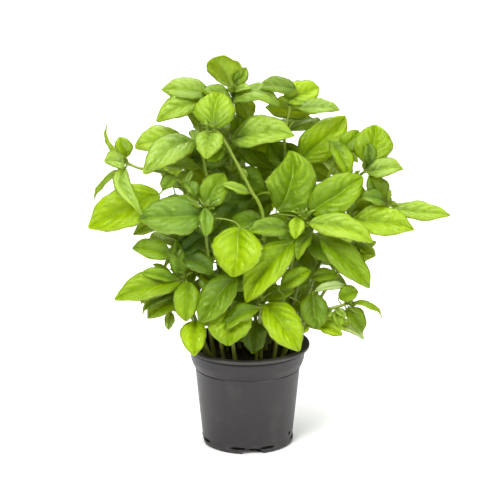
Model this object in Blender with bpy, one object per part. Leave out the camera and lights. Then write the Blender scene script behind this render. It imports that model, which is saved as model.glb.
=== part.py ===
"""A basil plant in a round plastic pot.

One object for the pot, one for its soil and one for each plant, a stem with its branches and leaves.
Working lengths are millimetres, turned into metres when a mesh is made.
"""
import math
import random

import bmesh
import bpy
from mathutils import Vector, geometry
from mathutils.bvhtree import BVHTree

MM = 0.001
FIT_GAP = 0.35

# Driving sizes of the pot
POT_HEIGHT = 104.0
LIP_RADIUS = 62.8
LIP_DEPTH = 3.0
COLLAR_RADIUS = 58.2
COLLAR_FOOT_RADIUS = 55.0
COLLAR_FOOT_HEIGHT = 82.5
BODY_TOP_RADIUS = 53.0
BODY_TOP_HEIGHT = 78.5
BODY_FOOT_RADIUS = 46.0
ARCH_RISE = 5.4
WALL = 1.6
POT_SIDES = 28
SOIL_SIDES = 14
SOIL_HEIGHT = 92.0

# The line of sight along which the leaves were read, level with the middle of the plant
SIGHT_DISTANCE = 2400.0
SIGHT_FALL = math.radians(16.4)
SIGHT_AIM = Vector((2.5, 0.0, 200.9))
SIGHT_UP = 188.3

# Leaves and stems
BLADE_THICKNESS = 1.2
BLADE_STATIONS = (0.14, 0.42, 0.74)
SMALL_BLADE = 20.5
SMALL_STATIONS = (0.2, 0.62)
STALK_RADIUS = 0.75
SHORT_STALK = 20.0
STEM_SIDES = 5
STEM_PIECES = 2
STEM_FOOT_RADIUS = 2.3
STEM_TOP_RADIUS = 1.3
ROOT_DEPTH = 14.0
HOLE_EASE = 0.25
LEAF_CLEARANCE = 0.4
LOWEST_ROOT = 4.0
JOINT_SHARES = (0.15, 0.85)
SETTLE_STEP = 2.0
SETTLE_STEPS = 19

# Leaves that grow by rule: some behind the gaps between the leaves that were read, then pairs up the stems
SHOWN_DEPTH = 24.0
GAP_STEP = 6
GAP_DEPTHS = (14.0, -6.0, -28.0, -52.0, -78.0)
GAP_SCORE = 5
GAP_SEED = 2
PAIR_SPACING = 19.0
PAIR_TRIES = 12
PAIR_SEED = 11

# The dense middle of the plant as seen, and the small gaps that show through it: across, up (and radius)
DENSE_OUTLINE = (
    (-42, 348), (-20, 350), (-7, 345), (14, 353), (42, 353), (70, 345), (82, 327), (90, 318), (97, 303),
    (104, 288), (114, 272), (110, 252), (130, 238), (147, 222), (132, 203), (124, 188), (120, 163),
    (97, 148), (82, 146), (92, 118), (62, 103), (52, 93), (-47, 93), (-57, 108), (-82, 120), (-97, 126),
    (-107, 138), (-112, 152), (-87, 163), (-82, 170), (-97, 190), (-97, 198), (-127, 222), (-117, 232),
    (-97, 242), (-82, 248), (-87, 262), (-97, 272), (-117, 288), (-107, 296), (-82, 302), (-72, 318),
    (-87, 325), (-82, 338), (-67, 348),
)
OPEN_GAPS = (
    (-107, 257, 9), (-96, 257, 8), (-76, 242, 9), (-58.5, 261, 6), (-72.5, 255, 4), (-65, 311, 7),
    (-96, 202, 6), (-80, 197, 5), (95, 156, 7), (-21, 306.5, 5), (-17, 293, 4), (-14.5, 323, 4),
    (12.5, 325, 10), (30.5, 340, 4), (47.5, 302, 8), (70.5, 257, 5), (103.5, 287, 7), (107.5, 270, 7),
    (118.5, 272, 3), (117.5, 253, 5), (-7.5, 241, 4), (-40.5, 160, 4), (-83.5, 171, 7), (-65, 121, 4),
    (50.5, 148, 6), (58.5, 144, 3), (84.5, 138, 6), (95.5, 133, 3), (83, 117, 5), (12.5, 130, 3),
    (12.5, 116, 3),
)


LOOK = Vector((0.0, math.cos(SIGHT_FALL), -math.sin(SIGHT_FALL)))
RISE = Vector((0.0, math.sin(SIGHT_FALL), math.cos(SIGHT_FALL)))
EYE = SIGHT_AIM - SIGHT_DISTANCE * LOOK


def seen(across, up, near):
    """The place seen at across and up from the pot's foot, so far in front of the pot's axis."""
    ray = SIGHT_DISTANCE * LOOK + Vector((across - SIGHT_AIM.x, 0.0, 0.0)) + (up - SIGHT_UP) * RISE
    return EYE + ray * ((-near - EYE.y) / ray.y)


def shown(place):
    """Across and up of a place as seen."""
    ray = place - EYE
    far = SIGHT_DISTANCE / ray.dot(LOOK)
    return ray.x * far + SIGHT_AIM.x, ray.dot(RISE) * far + SIGHT_UP


def may_show(across, up):
    """Whether a leaf that grew by rule may be seen there."""
    if any((across - x) ** 2 + (up - y) ** 2 < r * r for x, y, r in OPEN_GAPS):
        return False
    inside = False
    for (ax, ay), (bx, by) in zip(DENSE_OUTLINE, DENSE_OUTLINE[1:] + DENSE_OUTLINE[:1]):
        if (ay > up) != (by > up) and across < (bx - ax) * (up - ay) / (by - ay) + ax:
            inside = not inside
    return inside


class Leaf:
    """A blade from base to tip, whose upper side looks towards face (right, up, towards the viewer)."""

    def __init__(self, base, tip, width, face=(0.0, 0.8, 0.6), arch=0.1, sweep=0.0, cup=0.1, tone=0.0):
        self.base = base if isinstance(base, Vector) else seen(*base)
        self.tip = tip if isinstance(tip, Vector) else seen(*tip)
        self.width = width
        self.face = Vector((face[0], -face[2], face[1])).normalized()
        self.arch = arch
        self.sweep = sweep
        self.cup = cup
        self.tone = tone

    def marks(self):
        """Places along the rib and the edges that stand for the whole blade."""
        chord, over, side = self.frame()
        places = [self.rib(t) for t in (0.0, 0.25, 0.5, 0.75, 1.0)]
        for t in (0.2, 0.45, 0.7):
            for half in (-0.5, 0.5):
                places.append(self.rib(t) + side * (half * self.width * outline(t)))
        return places

    def moved(self, shift):
        """The same leaf, further towards the viewer."""
        other = Leaf.__new__(Leaf)
        other.__dict__.update(self.__dict__)
        other.base = self.base + shift
        other.tip = self.tip + shift
        return other

    def frame(self):
        """Chord, upper side's direction, and the direction across the blade."""
        chord = self.tip - self.base
        along = chord.normalized()
        over = self.face - self.face.dot(along) * along
        if over.length < 0.1:
            over = along.orthogonal()
        over.normalize()
        return chord, over, along.cross(over)

    def rib(self, t):
        """The midrib's place at t, from 0 at the stalk to 1 at the tip."""
        chord, over, side = self.frame()
        bow = 4.0 * t * (1.0 - t) * chord.length
        return self.base + chord * t + over * (self.arch * bow) + side * (self.sweep * bow)


def outline(t):
    """Share of the blade's half width at t: broad towards the stalk, pointed at the tip."""
    return math.sin(math.pi * t ** 0.78) ** 0.72


def smooth(points, pieces):
    """Points on a smooth curve through the given ones."""
    ends = [points[0] * 2 - points[1]] + list(points) + [points[-1] * 2 - points[-2]]
    curve = [points[0]]
    for a, b, c, d in zip(ends, ends[1:], ends[2:], ends[3:]):
        for i in range(1, pieces + 1):
            t = i / pieces
            curve.append(
                0.5 * (2 * b + (c - a) * t + (2 * a - 5 * b + 4 * c - d) * t * t
                       + (3 * b - a - 3 * c + d) * t ** 3)
            )
    return curve


class Plant:
    """A stem that rises from foot, with branches, each a list of places, and its leaves."""

    def __init__(self, name, foot, stem, branches=(), leaves=()):
        self.name = name
        x, near = foot
        ground = Vector((x, -near, SOIL_HEIGHT))
        first = [ground - Vector((0, 0, ROOT_DEPTH)), ground]
        main = smooth([ground] + [seen(*p) for p in stem], STEM_PIECES)
        self.stems = [first + main[1:]]
        for branch in branches:
            course = [seen(*p) for p in branch]
            course[0] -= Vector((0.2, 0.3, 0.9))
            self.stems.append(smooth(course, STEM_PIECES))
        self.leaves = leaves
        self.grown = []

    def nearest(self, place):
        """The point on the plant's stems above the soil that lies nearest to place."""
        best = None
        for stem in self.stems:
            for a, b in zip(stem, stem[1:]):
                if b.z < SOIL_HEIGHT + LOWEST_ROOT:
                    continue
                point, share = geometry.intersect_point_line(place, a, b)
                point = a.lerp(b, min(JOINT_SHARES[1], max(JOINT_SHARES[0], share)))
                if best is None or (point - place).length < (best - place).length:
                    best = point
        return best


# What the leaves show from in front, plant by plant
PLANTS = [
    Plant(
        "plant_top", (-8, -12), [(-15, 150, -14), (-17, 240, -15), (-16.5, 298, -14), (-14.5, 344, -10)],
        leaves=[
            Leaf((-16.5, 352, -4), (-33, 382, 8), 34, (0.1, 0.6, -0.8), 0.08, tone=-0.2),
            Leaf((-13, 354, -4), (-0.5, 371, -8), 14, (0.3, 0.5, 0.6), tone=-0.2),
            Leaf((-12.5, 347, -4), (3, 350, 6), 12, (0, 0.8, 0.6), tone=0.6),
            Leaf((-17, 340, -2), (-44, 347, 12), 20, (0, 0.8, 0.6), 0.1, tone=0.3),
            Leaf((-15, 335, -2), (33.5, 333, 8), 29, (0, 0.93, 0.36), 0.27, cup=-0.1, tone=0.4),
            Leaf((-12, 338, -8), (4, 318, 2), 27, (-0.3, 0.6, -0.6), tone=-0.8),
            Leaf((-13, 322, -16), (-3, 299, -6), 20, (0.2, 0.6, 0.7), tone=-0.1),
            Leaf((-15.5, 299, 4), (48, 304, 20), 37, (0.05, 0.72, 0.68), 0.1, cup=0.12, tone=0.4),
            Leaf((-12, 293, -24), (42.5, 275, -34), 34, (0.1, 0.4, 0.9), 0.05, tone=-0.8),
            Leaf((-19, 283, -4), (-58, 277, 6), 27, (0, 0.45, 0.85), 0.05, tone=-0.9),
            Leaf((-14, 262, -8), (18, 248, 2), 30, (0.1, 0.5, 0.85), 0.08, tone=-0.8),
        ],
    ),
    Plant(
        "plant_arching", (13, 20),
        [(15, 150, 34), (15.5, 221, 40), (4.5, 246, 43), (-9.5, 273, 45), (-26.5, 303, 46), (-35.5, 308, 45)],
        leaves=[
            Leaf((-34, 309, 44), (-30.5, 347, 18), 41, (0, 0.62, 0.78), 0.1, cup=-0.15, tone=0.5),
            Leaf((-38.5, 305, 48), (-40, 279, 72), 28, (0.1, 0.8, 0.6), 0.15, cup=0.1, tone=0.4),
            Leaf((1, 245, 48), (-26.5, 254, 58), 14, (0, 0.8, 0.6), 0.05, tone=0.5),
            Leaf((-8, 270, 38), (-2, 258, 34), 9, (0.2, 0.4, 0.8), tone=0.2),
            Leaf((-22, 290, 36), (-42, 278, 34), 18, (0, 0.6, 0.8), tone=0.0),
            Leaf((17, 216, 34), (-20, 214, 26), 24, (0, 0.6, 0.8), tone=-0.6),
        ],
    ),
    Plant(
        "plant_upper_left", (-21, -6),
        [(-30, 180, -2), (-38, 250, 4), (-47, 296, 8), (-40, 340, 8)],
        leaves=[
            Leaf((-38, 344, 6), (-86.5, 350, 4), 26, (-0.1, 0.75, 0.65), 0.08, tone=0.3),
            Leaf((-44, 337, 12), (-92.5, 318, 26), 28, (-0.2, 0.65, 0.75), 0.1, tone=0.6),
            Leaf((-53.5, 297, 18), (-106, 266, 52), 38, (-0.15, 0.8, 0.58), 0.14, cup=-0.1, tone=0.5),
            Leaf((-62, 295.5, 8), (-113.5, 291, 16), 34, (-0.1, 0.75, 0.65), 0.1, tone=0.3),
            Leaf((-52, 308, 16), (-54, 298, 30), 12, (-0.1, 0.8, 0.6), tone=0.3),
        ],
    ),
    Plant(
        "plant_left", (-34, 10), [(-44, 160, 22), (-58, 225, 36), (-64.5, 251, 42)],
        branches=[[(-64.5, 251, 42), (-75.5, 263, 41), (-90, 267, 38), (-107.5, 270, 33), (-120, 275, 28)]],
        leaves=[
            Leaf((-120.5, 279, 28), (-142.5, 314, 24), 16, (-0.9, 0.3, 0.25), 0.14),
            Leaf((-121.5, 280, 22), (-129, 301, 14), 19, (0.4, 0.5, 0.8), tone=0.1),
            Leaf((-123, 276, 30), (-143, 278, 38), 24, (-0.1, 0.8, 0.6), tone=0.2),
            Leaf((-124.5, 268.5, 26), (-155.5, 238, 20), 20, (-0.72, 0.68, 0.1), 0.05),
            Leaf((-122, 270, 38), (-103.5, 225, 84), 19, (0.4, 0.5, 0.75), 0.05, 0.22, tone=0.4),
            Leaf((-88, 244.5, 48), (-159.5, 209, 58), 42, (-0.2, 0.5, 0.85), 0.06, cup=0.2, tone=0.3),
            Leaf((-73, 261, 44), (-85.5, 248, 54), 18, (-0.3, 0.7, 0.6), tone=-0.2),
            Leaf((-61, 256, 44), (-53, 240, 54), 17, (0.2, 0.8, 0.5), 0.2, tone=-0.2),
        ],
    ),
    Plant(
        "plant_middle_left", (-24, 30), [(-32, 140, 44), (-40, 190, 56), (-42, 229, 62)],
        leaves=[
            Leaf((-43, 222, 66), (-109.5, 219, 76), 42, (-0.05, 0.66, 0.75), 0.06, cup=0.0, tone=-0.4),
            Leaf((-47.5, 232, 56), (-92, 230, 44), 22, (0, 0.85, 0.5), tone=0.5),
            Leaf((-72, 219, 38), (-116, 205, 44), 22, (-0.1, 0.7, 0.7), tone=0.4),
            Leaf((-43, 231, 58), (-23.5, 266, 40), 28, (0.3, 0.5, 0.8), 0.05, tone=0.0),
            Leaf((-42, 230, 68), (-42.5, 201, 82), 16, (0.4, 0.6, 0.7), 0.1, tone=0.3),
            Leaf((-8, 210, 72), (-14.5, 161, 90), 50, (-0.1, 0.5, 0.86), 0.12, cup=0.05, tone=0.9),
            Leaf((-44, 202, 46), (-68, 184, 50), 20, (-0.1, 0.6, 0.8), tone=-0.8),
        ],
    ),
    Plant(
        "plant_lower_left", (-37, 20),
        [(-52, 118, 42), (-62, 150, 52), (-68, 180, 52)],
        leaves=[
            Leaf((-75.5, 183, 52), (-116.5, 190.5, 50), 23, (-0.1, 0.7, 0.7), tone=0.1),
            Leaf((-77, 179, 50), (-93, 199, 44), 12, (-0.5, 0.4, 0.7), tone=0.3),
            Leaf((-66, 160, 54), (-71.5, 198, 48), 18, (-0.3, 0.35, 0.9), tone=0.3),
            Leaf((-64.5, 180, 56), (-32.5, 165, 66), 22, (0.1, 0.7, 0.7), tone=-0.6),
            Leaf((-70, 194, 46), (-40, 200, 40), 26, (0.1, 0.5, 0.85), tone=-0.9),
            Leaf((-67, 157, 54), (-134.5, 141, 62), 32, (-0.1, 0.7, 0.7), 0.08, tone=0.3),
            Leaf((-76, 160, 44), (-95, 175, 44), 10, (-0.2, 0.8, 0.5), tone=0.1),
            Leaf((-72, 160, 50), (-107, 168, 50), 15, (-0.1, 0.7, 0.7), tone=0.2),
            Leaf((-69.5, 150, 50), (-109.5, 134, 44), 14, (-0.2, 0.85, 0.5), tone=-0.4),
            Leaf((-69.5, 145, 46), (-108, 125, 38), 14, (-0.2, 0.85, 0.5), tone=-0.2),
            Leaf((-67, 138, 46), (-101.5, 120, 44), 22, (-0.2, 0.7, 0.7), tone=-0.2),
            Leaf((-61, 157, 60), (-60.5, 116, 76), 26, (0.05, 0.6, 0.8), 0.12, tone=0.4),
            Leaf((-46, 168, 44), (-28, 146, 50), 22, (0.1, 0.5, 0.8), tone=-0.7),
        ],
    ),
    Plant(
        "plant_rim_left", (-42, 6), [(-56, 122, 26), (-72, 128, 34), (-76, 132, 36)],
        leaves=[
            Leaf((-76, 126, 38), (-79.5, 108, 46), 11, (-0.2, 0.6, 0.7), tone=-0.2),
            Leaf((-52.5, 121, 46), (-54, 86, 71), 26, (0.0, 0.6, 0.8), 0.12, tone=0.6),
        ],
    ),
    Plant(
        "plant_front", (-12, 40), [(-16, 112, 50), (-17, 140, 58), (-15, 164, 62)],
        leaves=[
            Leaf((-12, 161, 66), (-49.5, 115, 82), 34, (-0.2, 0.6, 0.77), 0.1, tone=-0.1),
            Leaf((-17.5, 128, 64), (-17.5, 92, 86), 43, (0, 0.75, 0.66), 0.12, cup=0.15, tone=0.5),
            Leaf((-20, 128, 56), (-46, 112, 62), 20, (-0.2, 0.7, 0.6), tone=0.0),
        ],
    ),
    Plant(
        "plant_rim_front", (8, 36), [(11, 110, 46), (14, 134, 54)],
        leaves=[
            Leaf((17.5, 134, 60), (53.5, 87, 80), 38, (0.2, 0.6, 0.77), 0.12, tone=0.6),
            Leaf((17, 139, 52), (47, 149, 50), 18, (0.1, 0.7, 0.7), tone=-0.2),
            Leaf((11, 135, 60), (-26.5, 113, 68), 24, (-0.1, 0.85, 0.5), tone=-0.1),
            Leaf((8, 118, 46), (5, 84, 54), 24, (0.1, 0.3, 0.9), tone=-0.9),
        ],
    ),
    Plant(
        "plant_centre", (26, 24), [(36, 140, 40), (48, 190, 50), (55.5, 219, 56)],
        leaves=[
            Leaf((29, 228, 44), (40.5, 287, 34), 50, (0.1, 0.3, 0.95), 0.05, 0.16, tone=0.2),
            Leaf((43, 209, 62), (0, 208, 74), 24, (0.0, 0.8, 0.6), 0.04, tone=0.3),
            Leaf((50, 221, 60), (48.5, 199, 74), 17, (-0.1, 0.6, 0.8), tone=0.7),
            Leaf((45, 197, 60), (-2.5, 135, 76), 38, (-0.2, 0.6, 0.77), 0.1, tone=0.1),
            Leaf((64, 202, 60), (49.5, 178, 70), 16, (-0.3, 0.6, 0.7), 0.1, 0.1, tone=-0.1),
            Leaf((63, 226, 54), (117.5, 262, 40), 38, (0.1, 0.55, 0.83), 0.08, tone=0.4),
            Leaf((62, 216, 62), (127.5, 200, 74), 30, (0.1, 0.75, 0.65), 0.08, tone=0.4),
            Leaf((74, 200, 56), (122.5, 149, 68), 30, (0.2, 0.55, 0.8), 0.1, tone=0.1),
            Leaf((60, 200, 40), (92, 178, 36), 30, (0.1, 0.5, 0.85), tone=-0.9),
            Leaf((56, 188, 36), (54, 152, 34), 28, (0.1, 0.3, 0.9), tone=-0.9),
        ],
    ),
    Plant(
        "plant_upper_right", (18, -6), [(28, 180, -6), (37, 265, -2), (37, 300, 0), (43, 333, 2)],
        leaves=[
            Leaf((49, 348, 2), (8.5, 350, 0), 23, (0, 0.8, 0.55), tone=-0.3),
            Leaf((37, 337, 2), (72.5, 351, -12), 28, (0.2, 0.6, 0.75), tone=0.4),
            Leaf((51, 331, 6), (92.5, 330, 14), 22, (0.1, 0.82, 0.55), 0.05, tone=0.3),
            Leaf((66.5, 325, 4), (17.5, 329, 12), 34, (0, 0.5, -0.85), 0.0, 0.06, tone=-0.6),
            Leaf((52.5, 277, 4), (98.5, 323, -6), 37, (0.2, 0.4, 0.85), 0.08, tone=0.1),
            Leaf((54, 274, -6), (82, 259, -4), 22, (0.1, 0.5, 0.85), tone=-0.8),
            Leaf((40, 272, -4), (22, 296, -16), 24, (0, 0.4, 0.9), tone=-0.6),
            Leaf((55, 274, -8), (36, 295, -12), 15, (0, 0.4, 0.9), tone=-0.7),
        ],
    ),
    Plant(
        "plant_right", (36, 4), [(54, 170, 8), (76, 245, 12), (90, 287, 14)],
        branches=[[(72, 232, 11), (98, 252, 15), (117.5, 267, 17)]],
        leaves=[
            Leaf((83.5, 297, 16), (101.5, 260, 30), 22, (0.4, 0.6, 0.7), 0.1, tone=0.3),
            Leaf((92.5, 287, 12), (112, 308, 2), 20, (0.3, 0.4, 0.8), tone=0.1),
            Leaf((94, 283, 18), (111.5, 274, 28), 13, (0.1, 0.8, 0.6), tone=-0.6),
            Leaf((120.5, 275, 12), (127, 315.5, -4), 38, (0.1, 0.4, 0.9), 0.08, tone=0.2),
            Leaf((122, 273, 20), (119.5, 297, 14), 15, (0.3, 0.4, 0.85), tone=-0.5),
            Leaf((120, 266, 20), (156, 270, 28), 24, (0.1, 0.75, 0.65), 0.1, tone=0.3),
            Leaf((80, 258, 8), (94, 246, 12), 24, (0.1, 0.5, 0.85), tone=-0.7),
        ],
    ),
    Plant(
        "plant_far_right", (43, 16), [(66, 160, 26), (98, 216, 34), (138, 236, 36)],
        leaves=[
            Leaf((135, 236, 34), (122.5, 263, 28), 25, (0.4, 0.3, 0.8), tone=-0.9),
            Leaf((145, 231, 38), (203, 226, 44), 23, (0.1, 0.75, 0.62), 0.0, 0.06, tone=0.3),
            Leaf((104.5, 219, 42), (167.5, 210, 52), 34, (0.1, 0.7, 0.7), 0.08, tone=0.4),
            Leaf((138, 236, 40), (112, 242, 50), 20, (-0.1, 0.8, 0.6), tone=-0.5),
            Leaf((104, 224, 36), (148, 233, 30), 18, (0.1, 0.8, 0.6), tone=-0.7),
        ],
    ),
    Plant(
        "plant_rim_right", (34, 23), [(50, 110, 38), (74, 126, 54), (88, 131, 56), (98, 134, 56)],
        leaves=[
            Leaf((65, 145, 56), (67.5, 108, 68), 28, (0.1, 0.6, 0.8), 0.1, tone=-0.5),
            Leaf((98.5, 152, 50), (65.5, 147, 52), 12, (0, 0.85, 0.5), tone=0.2),
            Leaf((91, 141, 56), (111.5, 147, 52), 18, (0.1, 0.7, 0.7), tone=0.2),
            Leaf((104.5, 135, 56), (136.5, 122, 58), 16, (0.3, 0.94, 0.1)),
            Leaf((98.5, 130, 56), (117, 106, 60), 22, (0.5, 0.5, 0.7), tone=-0.6),
            Leaf((73, 111, 58), (95.5, 104, 64), 18, (0.1, 0.8, 0.6), tone=0.5),
            Leaf((96, 112, 54), (117, 98.5, 56), 12, (0.3, 0.8, 0.5), tone=0.4),
            Leaf((33, 154, 56), (64.5, 170, 50), 19, (0, 0.6, 0.8), tone=0.4),
            Leaf((88, 129, 60), (98, 120, 66), 10, (0.2, 0.7, 0.6), tone=0.2),
            Leaf((91, 130, 58), (90.5, 111, 64), 14, (0.1, 0.5, 0.85), tone=0.2),
            Leaf((84, 128, 60), (75, 121, 64), 12, (-0.2, 0.7, 0.6), tone=0.3),
            Leaf((60, 112, 54), (52, 104, 60), 12, (-0.2, 0.7, 0.6), tone=0.8),
            Leaf((64, 160, 44), (92, 164, 40), 16, (0.1, 0.7, 0.7), tone=-0.3),
        ],
    ),
    Plant(
        "plant_low_back_right", (38, -12), [(60, 120, -10), (86, 160, -6), (112, 186, 0)],
        leaves=[
            Leaf((110, 184.5, 4), (128.5, 182.5, 8), 20, (0.2, 0.7, 0.6), tone=-0.2),
            Leaf((114, 189, 0), (129.5, 196, -4), 8, (0.3, 0.6, 0.6), tone=0.4),
            Leaf((106, 196, -4), (116, 172, 8), 20, (0.3, 0.5, 0.8), tone=-0.3),
            Leaf((88, 172, 4), (110, 196, 0), 24, (0.1, 0.4, 0.9), tone=-0.8),
        ],
    ),
    Plant("plant_back_left", (-36, -20), [(-44, 150, -44), (-56, 200, -74), (-70, 224, -96)]),
    Plant("plant_back", (-8, -38), [(-14, 160, -64), (-20, 240, -92), (-22, 285, -104)]),
    Plant("plant_back_right", (22, -32), [(40, 160, -54), (58, 225, -80), (60, 266, -96)]),
    Plant("plant_back_high", (8, -20), [(8, 160, -34), (6, 250, -50), (-2, 312, -58)]),
    Plant("plant_back_low_left", (-24, -40), [(-29, 132, -52), (-38, 160, -84), (-46, 186, -112)]),
    Plant("plant_back_low_right", (24, -40), [(30, 132, -52), (44, 160, -82), (56, 184, -110)]),
]


def closed_mesh(name, points, faces):
    """A mesh in metres from places in millimetres, its faces turned outwards."""
    shape = bmesh.new()
    corners = [shape.verts.new(p * MM) for p in points]
    for face in faces:
        shape.faces.new([corners[i] for i in face])
    bmesh.ops.recalc_face_normals(shape, faces=shape.faces)
    if shape.calc_volume(signed=True) < 0:
        bmesh.ops.reverse_faces(shape, faces=shape.faces)
    mesh = bpy.data.meshes.new(name)
    shape.to_mesh(mesh)
    shape.free()
    return mesh


def strip(sections, tip=None):
    """Points and triangles of a closed strip whose sections are rings of the same count."""
    count = len(sections[0])
    points = [p for ring in sections for p in ring]
    faces = [(0, i, i + 1) for i in range(1, count - 1)]
    for k in range(len(sections) - 1):
        a = k * count
        b = a + count
        for i in range(count):
            j = (i + 1) % count
            if i % 2:
                faces += [(a + i, b + i, a + j), (a + j, b + i, b + j)]
            else:
                faces += [(a + i, b + i, b + j), (a + i, b + j, a + j)]
    last = (len(sections) - 1) * count
    if tip is None:
        faces += [(last, last + i + 1, last + i) for i in range(1, count - 1)]
    else:
        points.append(tip)
        faces += [(last + i, len(points) - 1, last + (i + 1) % count) for i in range(count)]
    return points, faces


def blade_sections(leaf, grow=0.0):
    """Four-cornered sections of the blade, thick at the rib and thin at the edges, and its tip."""
    chord, over, side = leaf.frame()
    sections = []
    for t in BLADE_STATIONS if leaf.width > SMALL_BLADE else SMALL_STATIONS:
        place = leaf.rib(t)
        along = (leaf.rib(t + 0.02) - leaf.rib(t - 0.02)).normalized()
        lift = (over - over.dot(along) * along).normalized()
        out = along.cross(lift)
        half = 0.5 * leaf.width * outline(t) + grow
        edge = lift * (leaf.cup * half)
        thick = lift * (0.5 * BLADE_THICKNESS + grow)
        sections.append([place - out * half + edge, place + thick, place + out * half + edge, place - thick])
    return sections, leaf.tip + chord.normalized() * grow


def neck_section(place, along, over, radius):
    """A small square section round a stalk."""
    lift = (over - over.dot(along) * along).normalized()
    out = along.cross(lift)
    return [place - out * radius, place + lift * radius, place + out * radius, place - lift * radius]


def stalk_curve(leaf, root):
    """The stalk's middle and end: it leaves the stem upwards and runs into the midrib."""
    chord, over, side = leaf.frame()
    reach = (leaf.base - root).length
    start = root + Vector((0, 0, 1)) * (0.3 * reach)
    finish = leaf.base - (leaf.rib(0.04) - leaf.base).normalized() * (0.3 * reach)
    return [root * (1 - t) ** 3 + start * 3 * t * (1 - t) ** 2
            + finish * 3 * t * t * (1 - t) + leaf.base * t ** 3
            for t in (0.0, 0.5, 1.0)]


def leaf_solids(leaf, root, grow=0.0):
    """The whole leaf, and its blade alone, each as points and faces."""
    chord, over, side = leaf.frame()
    sections, tip = blade_sections(leaf, grow)
    course = stalk_curve(leaf, root)
    necks = []
    for i, place in enumerate(course):
        along = (course[min(i + 1, 2)] - course[max(i - 1, 0)]).normalized()
        if abs(along.dot(over)) > 0.98:
            along = chord.normalized()
        necks.append(neck_section(place, along, over, STALK_RADIUS + grow))
    if (leaf.base - root).length < SHORT_STALK:
        necks = [necks[0], necks[2]]
    return strip(necks + sections, tip), strip(necks[-1:] + sections, tip)


class Space:
    """The room already taken by stems, leaves, pot and soil."""

    def __init__(self):
        self.items = []

    def add(self, owner, kind, solid):
        points, faces = solid
        self.items.append((owner, kind, *reach(points), BVHTree.FromPolygons(points, faces)))

    def free(self, owner, whole, blade):
        """Whether a leaf clears everything that it doesn't grow from."""
        trees = {}
        for kind, (points, faces) in (("whole", whole), ("blade", blade)):
            trees[kind] = (*reach(points), BVHTree.FromPolygons(points, faces))
        for other, kind, low, high, tree in self.items:
            if other == owner and kind != "blade":
                continue
            mine = trees["blade" if other == owner else "whole"]
            if any(mine[0][i] > high[i] or mine[1][i] < low[i] for i in range(3)):
                continue
            if mine[2].overlap(tree):
                return False
        return True


def reach(points):
    """Lowest and highest corner round some points."""
    return (Vector([min(p[i] for p in points) for i in range(3)]),
            Vector([max(p[i] for p in points) for i in range(3)]))


def tube(course, radii, sides=STEM_SIDES):
    """A closed tube along a course of points."""
    rings = []
    lift = (course[1] - course[0]).orthogonal().normalized()
    for i, place in enumerate(course):
        along = (course[min(i + 1, len(course) - 1)] - course[max(i - 1, 0)]).normalized()
        lift = (lift - lift.dot(along) * along).normalized()
        out = along.cross(lift)
        turns = [2 * math.pi * k / sides for k in range(sides)]
        rings.append([place + (lift * math.cos(a) + out * math.sin(a)) * radii[i] for a in turns])
    return strip(rings)


def stem_radii(course, first, last):
    """Radii that taper evenly along a course."""
    return [first + (last - first) * i / (len(course) - 1) for i in range(len(course))]


def stem_solids(plant):
    """The plant's main stem and its branches as closed tubes."""
    solids = []
    for i, course in enumerate(plant.stems):
        thick = STEM_FOOT_RADIUS if i == 0 else 0.5 * (STEM_FOOT_RADIUS + STEM_TOP_RADIUS)
        solids.append(tube(course, stem_radii(course, thick, STEM_TOP_RADIUS)))
    return solids


def pot_profile():
    """The pot's wall in section, from the lip's inner edge out, down and back up inside."""
    outer = [
        (LIP_RADIUS - 7.0, POT_HEIGHT - 0.4), (LIP_RADIUS - 6.0, POT_HEIGHT), (LIP_RADIUS - 1.0, POT_HEIGHT),
        (LIP_RADIUS, POT_HEIGHT - 0.8), (LIP_RADIUS, POT_HEIGHT - LIP_DEPTH),
        (LIP_RADIUS - 0.9, POT_HEIGHT - LIP_DEPTH - 0.7), (COLLAR_RADIUS + 1.6, POT_HEIGHT - LIP_DEPTH - 1.3),
        (COLLAR_RADIUS, POT_HEIGHT - LIP_DEPTH - 5.0), (COLLAR_RADIUS - 0.9, COLLAR_FOOT_HEIGHT + 6.0),
        (COLLAR_FOOT_RADIUS, COLLAR_FOOT_HEIGHT), (BODY_TOP_RADIUS - 0.2, BODY_TOP_HEIGHT + 1.4),
        (BODY_TOP_RADIUS + 0.3, BODY_TOP_HEIGHT + 0.4), (BODY_TOP_RADIUS, BODY_TOP_HEIGHT - 0.8),
        (BODY_FOOT_RADIUS, 9.0), (BODY_FOOT_RADIUS + 0.6, 3.0),
        (BODY_FOOT_RADIUS - 0.2, 0.6), (BODY_FOOT_RADIUS - 1.4, 0.0),
    ]
    inner = [
        (BODY_FOOT_RADIUS - 3.4, 0.0), (BODY_FOOT_RADIUS - 3.8, 2.4), (0.0, 2.4), (0.0, 4.0),
        (BODY_FOOT_RADIUS - WALL - 1.5, 4.0), (BODY_FOOT_RADIUS - WALL, 5.5),
        (BODY_FOOT_RADIUS - WALL, 9.0), (BODY_TOP_RADIUS - WALL, BODY_TOP_HEIGHT),
        (COLLAR_FOOT_RADIUS - WALL, COLLAR_FOOT_HEIGHT + 2.0),
    ]
    return outer + inner


def turned(profile, sides):
    """Points and faces of a closed solid of revolution about Z; points on the axis become poles."""
    points, rings = [], []
    for radius, height in profile:
        if radius == 0.0:
            rings.append([len(points)] * sides)
            points.append(Vector((0, 0, height)))
        else:
            rings.append(list(range(len(points), len(points) + sides)))
            for k in range(sides):
                angle = 2 * math.pi * k / sides
                points.append(Vector((radius * math.cos(angle), radius * math.sin(angle), height)))
    faces = []
    for a, b in zip(rings, rings[1:] + rings[:1]):
        for k in range(sides):
            j = (k + 1) % sides
            face = list(dict.fromkeys((a[k], a[j], b[j], b[k])))
            if len(face) > 2:
                faces.append(face)
    return points, faces


def material(name, colour, roughness):
    """A plain Principled material."""
    made = bpy.data.materials.new(name)
    made.use_nodes = True
    shader = made.node_tree.nodes["Principled BSDF"]
    shader.inputs["Base Color"].default_value = (*colour, 1.0)
    shader.inputs["Roughness"].default_value = roughness
    return made


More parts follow.
